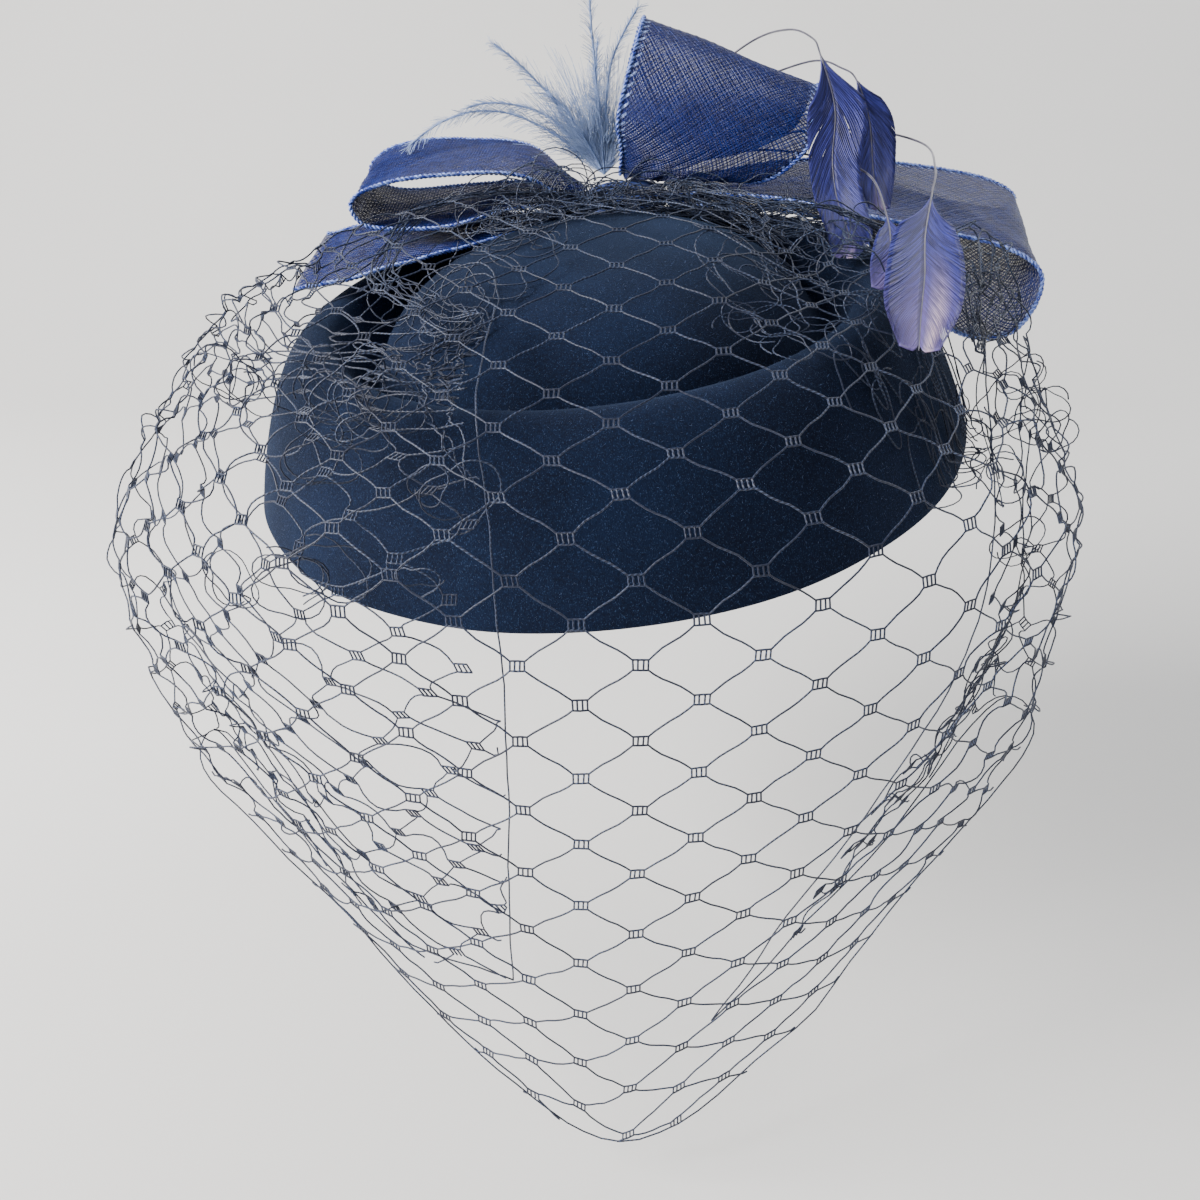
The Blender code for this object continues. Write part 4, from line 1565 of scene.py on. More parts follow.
@dataclass
class BraidBand:
    """One strip of horsehair braid: its weave and its two roped edges."""

    name: str
    node: str
    rows: tuple[tuple[float, ...], ...]
    length: float
    side: tuple[float, float, float]
    clear: float
    width: float = BRAID_WIDTH
    steps: int = 150
    lanes: int = 28
    pleats: float = 5.0
    cord: float = 0.36 * MM
    spacing: float = 1.70 * MM
    pieces: int = 20
    strand: float = 0.14 * MM
    fold: float = 1.5 * MM
    ripple: float = 0.8 * MM
    turn: float = 2.6 * MM
    waver: float = 0.15 * MM

    def grid(self) -> list[list[Vector]]:
        """Lays the band out.

        Returns:
            Places across it, for each step along it.
        """
        base = HAT.knot_side(self.side, self.clear)
        grid = []
        for step in range(self.steps + 1):
            t = step / self.steps
            x, y, z, across_x, across_y, across_z, width, cup = smooth_through(self.rows, t)
            ahead = Vector(smooth_through(self.rows, min(1.0, t + 0.01))[:3])
            behind = Vector(smooth_through(self.rows, max(0.0, t - 0.01))[:3])
            across = Vector((across_x, across_y, across_z)).normalized()
            hollow = across.cross(ahead - behind).normalized()
            middle = base + Vector((x, y, z)) * self.length
            gather = max(0.0, 1.0 - width)
            lane = []
            for i in range(self.lanes + 1):
                side = 2 * i / self.lanes - 1
                fold = math.sin(side * math.pi * self.pleats + 0.6) * gather**1.5 * self.fold
                ripple = noise.noise(Vector((side * 1.4, t * 9.0, len(self.name)))) * self.ripple
                bulge = cup * self.width * (1 - side * side) + fold + ripple * (1 - gather)
                place = middle + across * side * width * self.width / 2 + hollow * bulge
                lane.append(HAT.at_knot(place))
            grid.append(lane)
        return grid

    def filaments(self, grid: list[list[Vector]], run: list[float]) -> list[list[Vector]]:
        """Draws the crossing filaments, laid diagonally on the strip.

        Args:
            grid: The band's places.
            run: Its length so far at each step.

        Returns:
            Places along each filament.
        """
        steps = np.arange(self.steps + 1)
        places = np.array([[tuple(p) for p in lane] for lane in grid])

        def spot(u: float, v: float) -> Vector:
            """Finds a place on the flat strip.

            Args:
                u: How far across it.
                v: How far along it.

            Returns:
                The world place.
            """
            a, b = float(np.interp(v, run, steps)), u / self.width * self.lanes
            i, j = min(int(a), self.steps - 1), min(int(b), self.lanes - 1)
            s, t = a - i, b - j
            near = places[i, j] * (1 - t) + places[i, j + 1] * t
            far = places[i + 1, j] * (1 - t) + places[i + 1, j + 1] * t
            return Vector(near * (1 - s) + far * s)

        lines = []
        for lean in (1, -1):
            low, high = (-self.width, run[-1]) if lean > 0 else (0.0, run[-1] + self.width)
            starts = np.arange(low, high, self.spacing)
            for start in starts:
                line = []
                for u in np.linspace(0.0, self.width, self.pieces + 1):
                    v = start + lean * u
                    if 0.0 <= v <= run[-1]:
                        line.append(spot(float(u), float(v)))
                if len(line) > 1:
                    lines.append(line)
        return lines

    def build(self, weave: bpy.types.Material, cord_plan: Plan, strand_plan: Plan) -> list[
        bpy.types.Object
    ]:
        """Builds the weave sheet, its filaments and its roped edges.

        Args:
            weave: The sheet's finish.
            cord_plan: The tree for the edges.
            strand_plan: The tree for the filaments.

        Returns:
            The sheet, the edges and the filaments.
        """
        grid = self.grid()
        verts = [point for lane in grid for point in lane]
        wide = self.lanes + 1
        faces = []
        for a in range(self.steps):
            for b in range(self.lanes):
                start = a * wide + b
                faces.append((start, start + 1, start + wide + 1, start + wide))
        run = [0.0]
        centre = self.lanes // 2
        for here, there in zip(grid, grid[1:]):
            run.append(run[-1] + (there[centre] - here[centre]).length)
        across = [i / self.lanes * self.width for i in range(wide)]
        uv = [(place, run[a]) for a in range(self.steps + 1) for place in across]
        sheet = mesh_piece(self.name, verts, faces)
        set_uv(sheet, uv)
        settle(sheet, weave)
        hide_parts(self.node)
        edges = [[lane[0] for lane in grid], [lane[-1] for lane in grid]]
        source = line_piece(f"{self.name}_edge_lines", edges)
        sizes = {"Strand": self.cord, "Offset": self.cord, "Turn": self.turn}
        cords = cord_plan.grow(f"{self.name}_edges", source, sizes)
        settle(cords)
        source = line_piece(f"{self.name}_filament_lines", self.filaments(grid, run))
        sizes = {"Radius": self.strand, "Waver": self.waver, "Seed": 2.0}
        strands = strand_plan.grow(f"{self.name}_filaments", source, sizes)
        settle(strands)
        return [sheet, cords, strands]


def rope_plan(material: bpy.types.Material) -> Plan:
    """Plans a tree that winds two strands round each line, as on a braid's edge.

    Args:
        material: The finish to dress it in.

    Returns:
        The tree.
    """
    plan = Plan("roped_edge")
    strand, offset = plan.size("Strand", 0.3 * MM), plan.size("Offset", 0.3 * MM)
    turn = plan.size("Turn", 2.5 * MM)
    curve = plan.node("GeometryNodeMeshToCurve", inputs={"Mesh": plan.entry.outputs["Geometry"]})
    fine = plan.node(
        "GeometryNodeResampleCurve", {"mode": "LENGTH"}, {"Curve": curve, "Length": 0.42 * MM}
    )
    along = plan.node("GeometryNodeSplineParameter")
    joined = plan.node("GeometryNodeJoinGeometry")
    ring = plan.node("GeometryNodeCurvePrimitiveCircle", inputs={"Resolution": 4, "Radius": strand})
    angle = plan.math("MULTIPLY", plan.math("DIVIDE", along.outputs["Length"], turn), math.tau)
    tangent, normal = plan.node("GeometryNodeInputTangent"), plan.node("GeometryNodeInputNormal")
    side = plan.node(
        "ShaderNodeVectorMath", {"operation": "CROSS_PRODUCT"}, {0: tangent, 1: normal}
    )
    for phase in (0.0, math.pi):
        place = plan.math("ADD", angle, phase)
        cosine, sine = plan.math("COSINE", place), plan.math("SINE", place)
        out = plan.node(
            "ShaderNodeVectorMath", {"operation": "SCALE"}, {0: normal, "Scale": cosine}
        )
        up = plan.node("ShaderNodeVectorMath", {"operation": "SCALE"}, {0: side, "Scale": sine})
        both = plan.node("ShaderNodeVectorMath", {"operation": "ADD"}, {0: out, 1: up})
        shift = plan.node(
            "ShaderNodeVectorMath", {"operation": "SCALE"}, {0: both, "Scale": offset}
        )
        wound = plan.node("GeometryNodeSetPosition", inputs={"Geometry": fine, "Offset": shift})
        tube = plan.node(
            "GeometryNodeCurveToMesh",
            inputs={"Curve": wound, "Profile Curve": ring, "Fill Caps": True}
        )
        plan.tree.links.new(tube.outputs[0], joined.inputs[0])
    smooth = plan.node("GeometryNodeSetShadeSmooth", inputs={"Geometry": joined})
    plan.finish(smooth, material)
    return plan


@dataclass
class BraidTrim:
    """The three loops, the tail and the binding that gathers them."""

    thickness: float = 1.2 * MM
    rounds: int = 120
    rings: int = 48
    folds: int = 26
    fold_depth: float = 0.05
    waist: float = 0.07
    waist_width: float = 0.22
    # Rows of x y z as shares of the strip's length, its cross direction, width and cup
    left_loop: tuple[tuple[float, ...], ...] = (
        (0.00, 0.01, 0.01, 0.09, 0.99, -0.12, 0.24, 0.08),
        (-0.16, 0.13, 0.14, 0.04, 1.00, -0.06, 0.80, 0.03),
        (-0.43, 0.14, 0.19, 0.00, 1.00, -0.03, 1.00, 0.01),
        (-0.67, 0.13, 0.19, -0.05, 1.00, -0.03, 1.00, 0.00),
        (-0.79, 0.11, 0.13, -0.06, 1.00, -0.05, 1.00, 0.00),
        (-0.73, 0.10, 0.05, -0.06, 1.00, -0.05, 1.00, 0.00),
        (-0.48, 0.11, 0.02, 0.00, 1.00, -0.03, 1.00, 0.01),
        (-0.20, 0.11, 0.03, 0.04, 1.00, -0.06, 0.70, 0.01),
        (0.00, 0.01, -0.01, 0.09, 0.99, -0.12, 0.24, 0.00),
    )
    upright_loop: tuple[tuple[float, ...], ...] = (
        (0.00, -0.02, 0.01, 1.00, -0.05, 0.00, 0.18, 0.00),
        (0.25, -0.14, 0.05, 0.97, -0.16, -0.29, 0.72, 0.06),
        (0.38, -0.18, 0.20, 0.98, -0.14, -0.25, 1.00, 0.04),
        (0.47, -0.07, 0.43, 0.96, -0.24, -0.41, 1.00, 0.02),
        (0.52, 0.09, 0.52, 0.96, -0.24, -0.43, 1.00, 0.00),
        (0.49, 0.22, 0.45, 0.96, -0.24, -0.41, 1.00, 0.02),
        (0.39, 0.29, 0.21, 0.97, -0.12, -0.30, 0.95, 0.04),
        (0.23, 0.23, 0.06, 0.98, -0.07, -0.20, 0.62, 0.04),
        (0.00, 0.02, 0.01, 1.00, -0.05, 0.00, 0.18, 0.00),
    )
    right_loop: tuple[tuple[float, ...], ...] = (
        (0.00, 0.01, 0.01, -0.01, 1.00, -0.06, 0.24, 0.05),
        (0.25, 0.06, -0.01, 0.00, 1.00, -0.01, 0.78, 0.03),
        (0.53, 0.05, -0.06, 0.06, 1.02, 0.08, 1.00, 0.02),
        (0.75, 0.02, -0.12, 0.11, 1.02, 0.11, 1.00, 0.00),
        (0.85, -0.02, -0.18, 0.12, 1.03, 0.17, 1.00, 0.00),
        (0.79, -0.05, -0.25, 0.20, 1.06, 0.48, 1.00, 0.00),
        (0.64, -0.02, -0.22, 0.16, 1.07, 0.57, 0.95, 0.02),
        (0.40, 0.06, -0.07, 0.01, 1.02, 0.13, 0.72, 0.03),
        (0.00, 0.01, -0.01, -0.01, 1.00, -0.06, 0.24, 0.02),
    )
    left_tail: tuple[tuple[float, ...], ...] = (
        (0.00, 0.00, 0.00, 0.29, 0.99, -0.15, 0.18, 0.00),
        (-0.21, 0.03, -0.01, 0.14, 1.00, -0.10, 0.60, 0.02),
        (-0.46, -0.04, 0.00, 0.10, 1.00, -0.04, 0.92, 0.02),
        (-0.71, -0.10, 0.00, 0.05, 1.01, 0.00, 1.00, 0.02),
        (-0.87, -0.11, -0.01, 0.00, 1.01, 0.02, 0.95, 0.00),
    )

    def bands(self) -> list[BraidBand]:
        """Lists the four strips of braid.

        Returns:
            The strips, in the order of building.
        """
        against = HAT.gap + self.thickness / 2
        strips = (
            ("loop_left", self.left_loop, 80 * MM, (-1.0, 0.0, 0.0), HAT.gap),
            ("loop_upright", self.upright_loop, 56 * MM, (0.35, 0.10, 0.93), against),
            ("loop_right", self.right_loop, 122 * MM, (1.0, 0.0, 0.0), HAT.gap),
            ("tail_left", self.left_tail, 92 * MM, (-0.85, 0.10, -0.50), against),
        )
        return [BraidBand(f"braid_{name}", f"crin_{name}", *rest) for name, *rest in strips]

    def binding(self, material: bpy.types.Material) -> bpy.types.Object:
        """Builds the pleated bundle at the middle, drawn in by turns of thread.

        Args:
            material: The finish to dress it in.

        Returns:
            The binding.
        """
        rounds, rings = self.rounds, self.rings
        verts = [HAT.at_knot(Vector((-HAT.knot_size[0] / 2, 0, 0)))]
        for ring in range(1, rings):
            angle = math.pi * ring / rings
            for i in range(rounds):
                turn = math.tau * i / rounds
                flat, round_it = math.cos(angle), math.sin(angle)
                unit = Vector((-flat, round_it * math.sin(turn), round_it * math.cos(turn)))
                wave = 1 + math.sin(turn * self.folds + 2.0 * math.sin(angle * 3))
                slim = 1.0 - self.fold_depth * wave * round_it
                slim *= 1.0 - self.waist * math.exp(-((flat / self.waist_width) ** 2))
                place = HAT.knot_side(unit)
                verts.append(HAT.at_knot(Vector((place.x, place.y * slim, place.z * slim))))
        verts.append(HAT.at_knot(Vector((HAT.knot_size[0] / 2, 0, 0))))
        faces: list[tuple[int, ...]]
        faces = [(0, 1 + i, 1 + (i + 1) % rounds) for i in range(rounds)]
        for ring in range(rings - 2):
            for i in range(rounds):
                a, b = 1 + ring * rounds + i, 1 + ring * rounds + (i + 1) % rounds
                faces.append((a, a + rounds, b + rounds, b))
        end, last = len(verts) - 1, 1 + (rings - 2) * rounds
        faces += [(last + (i + 1) % rounds, last + i, end) for i in range(rounds)]
        piece = mesh_piece("crin_binding", verts, faces)
        work = bmesh.new()
        work.from_mesh(piece.data)
        bmesh.ops.recalc_face_normals(work, faces=work.faces)
        work.to_mesh(piece.data)
        work.free()
        settle(piece, material)
        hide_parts("crin_knot")
        return piece


# Feathers


@dataclass
class LeafFeather:
    """A trimmed goose feather hanging from its bare curved quill."""

    name: str
    root: tuple[float, float, float]
    rows: tuple[tuple[float, float, float, float], ...]
    length: float = 50 * MM
    width: float = 17 * MM
    quill: float = 0.42 * MM
    facing: tuple[float, float, float] = (1.0, 0.25, 0.0)
    barbs: int = 128
    segments: int = 7
    slant: Span = (0.62, 0.25)
    last_barb: float = 0.93
    barb_reach: float = 0.13
    barb_breadth: float = 0.62 * MM
    thickness: float = 0.09 * MM
    fold: float = 0.22
    pale: bool = False

    def shaft(self, steps: int = 160) -> list[tuple[Vector, float]]:
        """Follows the shaft from the binding to the feather's end.

        Args:
            steps: How finely.

        Returns:
            Places down the shaft, with the blade's width there.
        """
        start = HAT.knot_middle() + HAT.knot_side(self.root, HAT.gap + self.quill)
        rows = [(*start, 0.0)]
        for x, y, lift, width in self.rows:
            height = HAT.wall_height + lift * self.length
            rows.append((x * HAT.rim_radius, y * HAT.rim_radius, height, width))
        found = []
        for step in range(steps + 1):
            *place, width = smooth_through(rows, step / steps)
            found.append((HAT.tilt @ Vector(place), max(width, 0.0)))
        return found

    def frame(self, shaft: list[tuple[Vector, float]], place: float) -> tuple[
        Vector, Vector, Vector, Vector, float
    ]:
        """Finds how the blade lies at one place of the shaft.

        Args:
            shaft: The shaft.
            place: Where on it, from 0 to 1.

        Returns:
            Place, direction, side, face and blade width there.
        """
        reach = place * (len(shaft) - 1)
        i = min(int(reach), len(shaft) - 2)
        t = reach - i
        middle = shaft[i][0].lerp(shaft[i + 1][0], t)
        width = shaft[i][1] * (1 - t) + shaft[i + 1][1] * t
        ahead, behind = shaft[min(i + 3, len(shaft) - 1)][0], shaft[max(i - 3, 0)][0]
        along = (ahead - behind).normalized()
        side = HAT.tilt.to_3x3() @ Vector(self.facing)
        side = (side - along * side.dot(along)).normalized()
        return middle, along, side, along.cross(side), width

    def blade(self, material: bpy.types.Material) -> bpy.types.Object:
        """Builds both vanes from overlapping barbs that spring from the shaft.

        Args:
            material: The finish to dress it in.

        Returns:
            The blade.
        """
        shaft = self.shaft()
        clear = next(i for i, (_, width) in enumerate(shaft) if width > 0.04)
        first = clear / (len(shaft) - 1)
        verts: list[Vector] = []
        faces: list[tuple[int, ...]] = []
        values: dict[str, list[float]] = {"down": [], "side": [], "barb": []}
        for side in (-1, 1):
            for k in range(self.barbs):
                share = k / (self.barbs - 1)
                place = first + (1.0 - first) * share * self.last_barb
                slant = self.slant[0] + self.slant[1] * share
                ruffle = noise.noise(Vector((k * 0.35, side * 3.0, len(self.name))))
                chance = noise.noise(Vector((k * 0.9, side * 7.0, 2.0)))
                split = 1.0 if chance < 0.52 else 0.90
                start = len(verts)
                for s in range(self.segments + 1):
                    t = s / self.segments
                    ahead = min(1.0, place + slant * t * self.barb_reach)
                    spot, run, across, face, width = self.frame(shaft, ahead)
                    half = width * self.width / 2 * split
                    lift = self.fold * half * (t * t) * (1.0 + 0.4 * ruffle)
                    lift += 0.05 * MM * (k % 2) - 0.25 * MM * ruffle * t
                    centre = spot + across * side * half * t + face * lift
                    breadth = run * (self.barb_breadth * (1.0 - 0.55 * t))
                    verts += [centre - breadth, centre + breadth]
                    for key, value in (("down", share), ("side", t * side), ("barb", float(k))):
                        values[key] += [value, value]
                for a in range(start, start + 2 * self.segments, 2):
                    faces.append((a, a + 1, a + 3, a + 2))
        piece = mesh_piece(f"{self.name}_vane", verts, faces)
        for key, numbers in values.items():
            layer = piece.data.attributes.new(key, "FLOAT", "POINT")
            layer.data.foreach_set("value", numbers)
        thicken = piece.modifiers.new("Thickness", "SOLIDIFY")
        thicken.thickness = self.thickness
        thicken.offset = 0.0
        settle(piece, material)
        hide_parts(self.name)
        return piece

    def quill_piece(self, material: bpy.types.Material) -> bpy.types.Object:
        """Builds the bare quill and the shaft down the blade, tapering to its end.

        Args:
            material: The finish to dress it in.

        Returns:
            The quill.
        """
        shaft = self.shaft(110)
        verts: list[Vector] = []
        sides = 8
        for i, (place, _) in enumerate(shaft):
            share = i / (len(shaft) - 1)
            _, _, side, face, _ = self.frame(shaft, share)
            thick = self.quill * (1.0 - 0.62 * share)
            for s in range(sides):
                angle = math.tau * s / sides
                verts.append(place + (side * math.cos(angle) + face * math.sin(angle)) * thick)
        faces: list[tuple[int, ...]] = [tuple(range(sides))[::-1]]
        for i in range(len(shaft) - 1):
            for s in range(sides):
                a, b = i * sides + s, i * sides + (s + 1) % sides
                faces.append((a, b, b + sides, a + sides))
        faces.append(tuple(range(len(verts) - sides, len(verts))))
        piece = mesh_piece(f"{self.name}_quill", verts, faces)
        return settle(piece, material)


@dataclass
class OstrichPlume:
    """Wispy plume behind the binding: bent stems with fine flues."""

    head: float = 4 * MM
    length: float = 58 * MM
    foot: tuple[float, float, float] = (-0.30, 0.80, 0.50)
    sway: float = 2.2 * MM
    seed: int = 21
    stem_steps: int = 40
    stem_radius: float = 0.30 * MM
    bare_steps: int = 3
    flue_radius: float = 0.055 * MM
    flue_length: Span = (3.0 * MM, 8.0 * MM)
    flue_steps: int = 5
    flues_each: int = 9
    middle_lock: int = 4
    foot_hairs: int = 900
    foot_lean: Span = (-0.30, 0.50)
    foot_back: Span = (0.0, 0.40)
    foot_length: Span = (12.0 * MM, 30.0 * MM)
    foot_steps: int = 7
    # Columns: lean, back, length and curl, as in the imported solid
    locks: tuple[tuple[float, float, float, float], ...] = (
        (-0.78, 0.14, 1.02, -0.55),
        (-0.62, 0.14, 0.75, -0.45),
        (-0.50, 0.14, 0.82, -0.14),
        (-0.38, 0.05, 0.46, -0.16),
        (0.02, 0.10, 1.00, 0.00),
        (-0.06, 0.28, 0.60, 0.12),
        (0.12, 0.34, 0.74, 0.20),
    )

    def stems(self) -> list[list[Vector]]:
        """Draws the bent stems.

        Returns:
            Places along each stem.
        """
        base = HAT.knot_side(self.foot, HAT.gap + self.head)
        stems = []
        for number, (lean, back, length, curl) in enumerate(self.locks):
            line = []
            for step in range(self.stem_steps + 1):
                t = step / self.stem_steps
                angle = lean + curl * t * t
                reach = self.length * length * t
                spot = Vector((math.sin(angle) * reach, back * reach, math.cos(angle) * reach))
                sway = noise.noise_vector(Vector((t * 2.2, number * 3.1, 0.7))) * self.sway * t
                line.append(HAT.at_knot(base + spot + sway))
            stems.append(line)
        return stems

    def build(self, material: bpy.types.Material, stem: bpy.types.Material) -> None:
        """Builds the stems and the flues that grow from them.

        Args:
            material: The flues' finish.
            stem: The stems' finish.
        """
        stems = self.stems()
        sizes = {"Radius": self.stem_radius, "Waver": 0.4 * MM, "Seed": 9.0}
        stem_piece = thread_plan(stem, 6).grow(
            "plume_stems", line_piece("stem_lines", stems), sizes
        )
        settle(stem_piece)
        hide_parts("plume")
        lines = self.flues(stems)
        sizes = {"Radius": self.flue_radius, "Waver": 1.6 * MM, "Seed": 4.0}
        flue_piece = thread_plan(material, 3).grow(
            "plume_flues", line_piece("flue_lines", lines), sizes
        )
        settle(flue_piece)
        LOG.info("plume: %d stems, %d flues", len(stems), len(lines))

    def flues(self, stems: list[list[Vector]]) -> list[list[Vector]]:
        """Draws the fine hairs along each stem and at the plume's foot.

        Args:
            stems: Places along each stem.

        Returns:
            Places along each hair.
        """
        rng = np.random.default_rng(self.seed)
        lines = []
        for stem in stems:
            for i in range(self.bare_steps, len(stem) - 1):
                along = (stem[i + 1] - stem[i]).normalized()
                for _ in range(self.flues_each):
                    out = Vector(rng.normal(size=3)).normalized()
                    out = (out - along * out.dot(along)).normalized()
                    size = rng.uniform(*self.flue_length) * (1.1 - 0.6 * i / len(stem))
                    start = stem[i].lerp(stem[i + 1], rng.uniform())
                    line = []
                    for t in np.linspace(0.0, 1.0, self.flue_steps):
                        droop = Vector((0, 0, -1)) * size * 0.25 * t * t
                        way = along * (0.9 + 0.2 * t) + out * 0.55 * t
                        line.append(start + way * size * t + droop)
                    lines.append(line)
        foot = stems[self.middle_lock][0]
        for _ in range(self.foot_hairs):
            lean = Vector(
                (rng.normal(*self.foot_lean), rng.uniform(*self.foot_back), 1.0)
            ).normalized()
            size = rng.uniform(*self.foot_length)
            bend = Vector(rng.normal(size=3)) * 0.18
            shares = np.linspace(0.0, 1.0, self.foot_steps)
            lines.append([foot + lean * size * t + bend * size * t * t for t in shares])
        return lines


# The studio


@dataclass(frozen=True)
class SoftLight:
    """One square soft light."""

    name: str
    place: tuple[float, float, float]
    side: float
    power: float
    colour: Colour

    def hang(self) -> None:
        """Hangs the light so that it faces the hat."""
        data = bpy.data.lights.new(self.name, "AREA")
        data.shape, data.size = "SQUARE", self.side
        data.energy, data.color = self.power, self.colour
        lamp = bpy.data.objects.new(self.name, data)
        lamp.location = self.place
        lamp.rotation_euler = (-Vector(self.place)).to_track_quat("-Z", "Y").to_euler()
        bpy.context.scene.collection.objects.link(lamp)


@dataclass
class Studio:
    """Pale floor, soft lights and the camera."""

    floor_height: float = -0.150
    floor_half: float = 2.2
    floor_front: float = -1.6
    sweep: float = 0.5
    wall_top: float = 1.6
    world_colour: tuple[float, float, float, float] = (0.90, 0.93, 1.0, 1.0)
    world_strength: float = 0.45
    camera_place: tuple[float, float, float] = (-0.0025, -0.318, 0.110)
    camera_dip: float = math.radians(27.0)
    focal: float = 36.09
    sensor: float = 36.0
    lights: tuple[SoftLight, ...] = (
        SoftLight("key_left", (-0.95, -0.30, 0.55), 0.6, 42.0, (1.0, 0.98, 0.96)),
        SoftLight("key_right", (0.80, 0.45, 0.80), 0.6, 8.0, (0.96, 0.98, 1.0)),
        SoftLight("front_fill", (0.1, -1.2, 0.9), 1.2, 3.0, (1.0, 1.0, 1.0)),
    )

    def floor(self) -> None:
        """Builds a plain pale floor that sweeps up behind."""
        path = [(self.floor_front, 0.0), (-0.4, 0.0), (self.sweep, 0.0)]
        for angle in np.linspace(0.1, math.pi / 2, 10):
            y, z = self.sweep * (1.0 + math.sin(angle)), self.sweep * (1.0 - math.cos(angle))
            path.append((y, z))
        path.append((2 * self.sweep, self.wall_top))
        verts, faces = [], []
        for y, z in path:
            verts += [(x, y, self.floor_height + z) for x in (-self.floor_half, self.floor_half)]
        for i in range(len(path) - 1):
            faces.append((2 * i, 2 * i + 1, 2 * i + 3, 2 * i + 2))
        piece = mesh_piece("studio_floor", verts, faces)
        sheet = Sheet("pale_paper")
        soft = sheet.noise(sheet.place(), 3.0)
        tooth = sheet.noise(sheet.place(), 900.0)
        paper = sheet.dress(
            Base_Color=sheet.blend(soft, (0.70, 0.69, 0.67), (0.76, 0.75, 0.73)), Roughness=0.9,
            Normal=sheet.bump(tooth, 0.1, 0.2 * MM),
        )
        piece.data.materials.append(paper)

    def camera(self) -> None:
        """Sets the camera at the photo's viewing angle."""
        data = bpy.data.cameras.new("photo_camera")
        data.lens, data.sensor_width = self.focal, self.sensor
        data.clip_start, data.clip_end = 0.01, 20.0
        camera = bpy.data.objects.new("photo_camera", data)
        camera.location = self.camera_place
        camera.rotation_euler = (math.pi / 2 - self.camera_dip, 0.0, 0.0)
        bpy.context.scene.collection.objects.link(camera)
        bpy.context.scene.camera = camera

    def build(self) -> None:
        """Builds the floor, lights and camera."""
        self.floor()
        for light in self.lights:
            light.hang()
        world = bpy.data.worlds.new("soft_room")
        world.use_nodes = True
        background = world.node_tree.nodes["Background"]
        background.inputs["Color"].default_value = self.world_colour
        background.inputs["Strength"].default_value = self.world_strength
        bpy.context.scene.world = world
        self.camera()


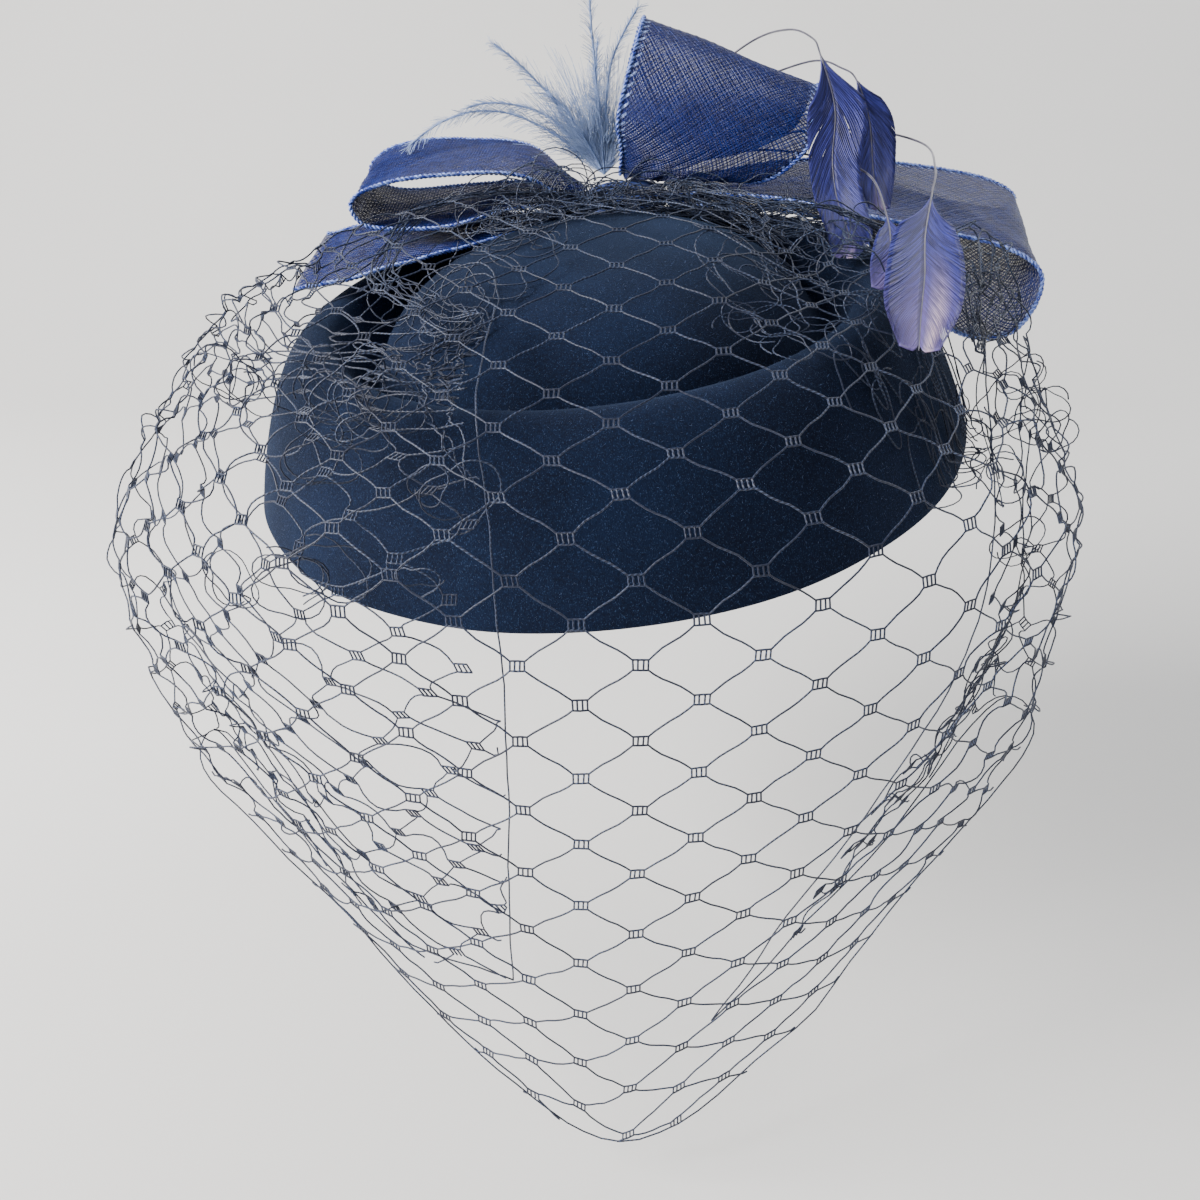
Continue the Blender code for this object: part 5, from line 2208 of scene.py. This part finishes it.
def feathers() -> list[LeafFeather]:
    """Lists the four leaf feathers.

    Returns:
        The feathers, in the order of building.
    """
    return [
        LeafFeather("feather_front", (0.30, 0.90, 0.32), (
            (0.15, 0.70, 0.25, 0.00),
            (0.15, 0.76, 0.33, 0.00),
            (0.16, 0.81, 0.39, 0.00),
            (0.32, 0.89, 0.58, 0.00),
            (0.53, 0.86, 0.83, 0.00),
            (0.63, 0.69, 0.93, 0.00),
            (0.68, 0.54, 0.92, 0.00),
            (0.69, 0.45, 0.86, 0.10),
            (0.72, 0.39, 0.61, 0.95),
            (0.70, 0.31, 0.38, 0.85),
            (0.70, 0.23, 0.21, 0.78),
            (0.71, 0.10, 0.09, 0.70),
            (0.68, 0.00, 0.04, 0.40),
        )),
        LeafFeather("feather_back", (0.62, 0.77, 0.14), (
            (0.20, 0.70, 0.24, 0.00),
            (0.23, 0.77, 0.33, 0.00),
            (0.24, 0.83, 0.39, 0.00),
            (0.48, 0.88, 0.57, 0.00),
            (0.69, 0.69, 0.75, 0.00),
            (0.77, 0.56, 0.74, 0.00),
            (0.80, 0.49, 0.69, 0.10),
            (0.83, 0.46, 0.49, 0.72),
            (0.83, 0.39, 0.26, 0.68),
            (0.83, 0.30, 0.10, 0.35),
        )),
        LeafFeather("feather_low", (0.77, 0.25, 0.58), (
            (0.24, 0.56, 0.28, 0.00),
            (0.27, 0.55, 0.35, 0.00),
            (0.53, 0.53, 0.37, 0.00),
            (0.72, 0.40, 0.33, 0.00),
            (0.80, 0.27, 0.29, 0.00),
            (0.79, 0.00, 0.24, 0.06),
            (0.77, -0.16, 0.20, 0.42),
            (0.74, -0.29, 0.16, 0.50),
            (0.71, -0.41, 0.14, 0.38),
        ), pale=True),
        LeafFeather("feather_right", (0.76, 0.56, 0.33), (
            (0.25, 0.58, 0.22, 0.00),
            (0.28, 0.59, 0.28, 0.00),
            (0.56, 0.60, 0.41, 0.00),
            (0.83, 0.59, 0.39, 0.00),
            (0.97, 0.40, 0.37, 0.00),
            (0.94, 0.11, 0.38, 0.00),
            (0.90, -0.03, 0.33, 0.08),
            (0.84, -0.23, 0.25, 0.80),
            (0.80, -0.41, 0.19, 1.00),
            (0.76, -0.56, 0.12, 0.95),
            (0.73, -0.68, 0.05, 0.50),
        ), pale=True),
    ]


def build_trim(braid_width: float) -> None:
    """Builds the braid's binding and strips.

    Args:
        braid_width: Flat width of the braid.
    """
    trim = BraidTrim()
    trim.binding(GATHERED_BRAID.make())
    weave = CrinFinish().make(braid_width)
    cord = rope_plan(EDGE_CORD.make())
    strands = thread_plan(BRAID_FILAMENT.make(), 3)
    for band in trim.bands():
        pieces = band.build(weave, cord, strands)
        LOG.info("%s: %d faces", band.name, sum(len(p.data.polygons) for p in pieces))


def build_feathers() -> None:
    """Builds the leaf feathers and the plume."""
    vane = LeafFinish(name="leaf_vane_dark", fade_from=0.78).make()
    pale_vane = LeafFinish(name="leaf_vane_pale").make()
    quill = DARK_QUILL.make()
    for feather in feathers():
        feather.blade(pale_vane if feather.pale else vane)
        feather.quill_piece(quill)
        LOG.info("%s built", feather.name)
    flue, stem = OSTRICH_FLUE.make(), OSTRICH_STEM.make()
    OstrichPlume().build(flue, stem)


def main() -> None:
    """Builds every piece in order."""
    noise.seed_set(NOISE_SEED)
    logging.basicConfig(level=logging.INFO, format="%(name)s: %(message)s")
    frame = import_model()
    LOG.info("frame with %d nodes", len(frame["nodes"]))
    Studio().build()

    hat = FeltHat()
    felt = hat.body(FeltFinish().make())
    nap = hat.nap(felt, LOOSE_NAP.make())
    LOG.info("felt: %d faces, nap: %d faces", len(felt.data.polygons), len(nap.data.polygons))

    veil = FaceNet()
    thread = ThreadFinish().make()
    net = veil.build(thread)
    gather = NetGather(veil).build(thread)
    LOG.info("net: %d faces, gather: %d faces", len(net.data.polygons), len(gather.data.polygons))

    build_trim(BRAID_WIDTH)
    build_feathers()

    comb = bpy.data.objects["hair_comb"]
    comb.data.materials.clear()
    comb.data.materials.append(CombFinish().make())
    LOG.info("comb dressed")


if __name__ == "__main__":
    main()
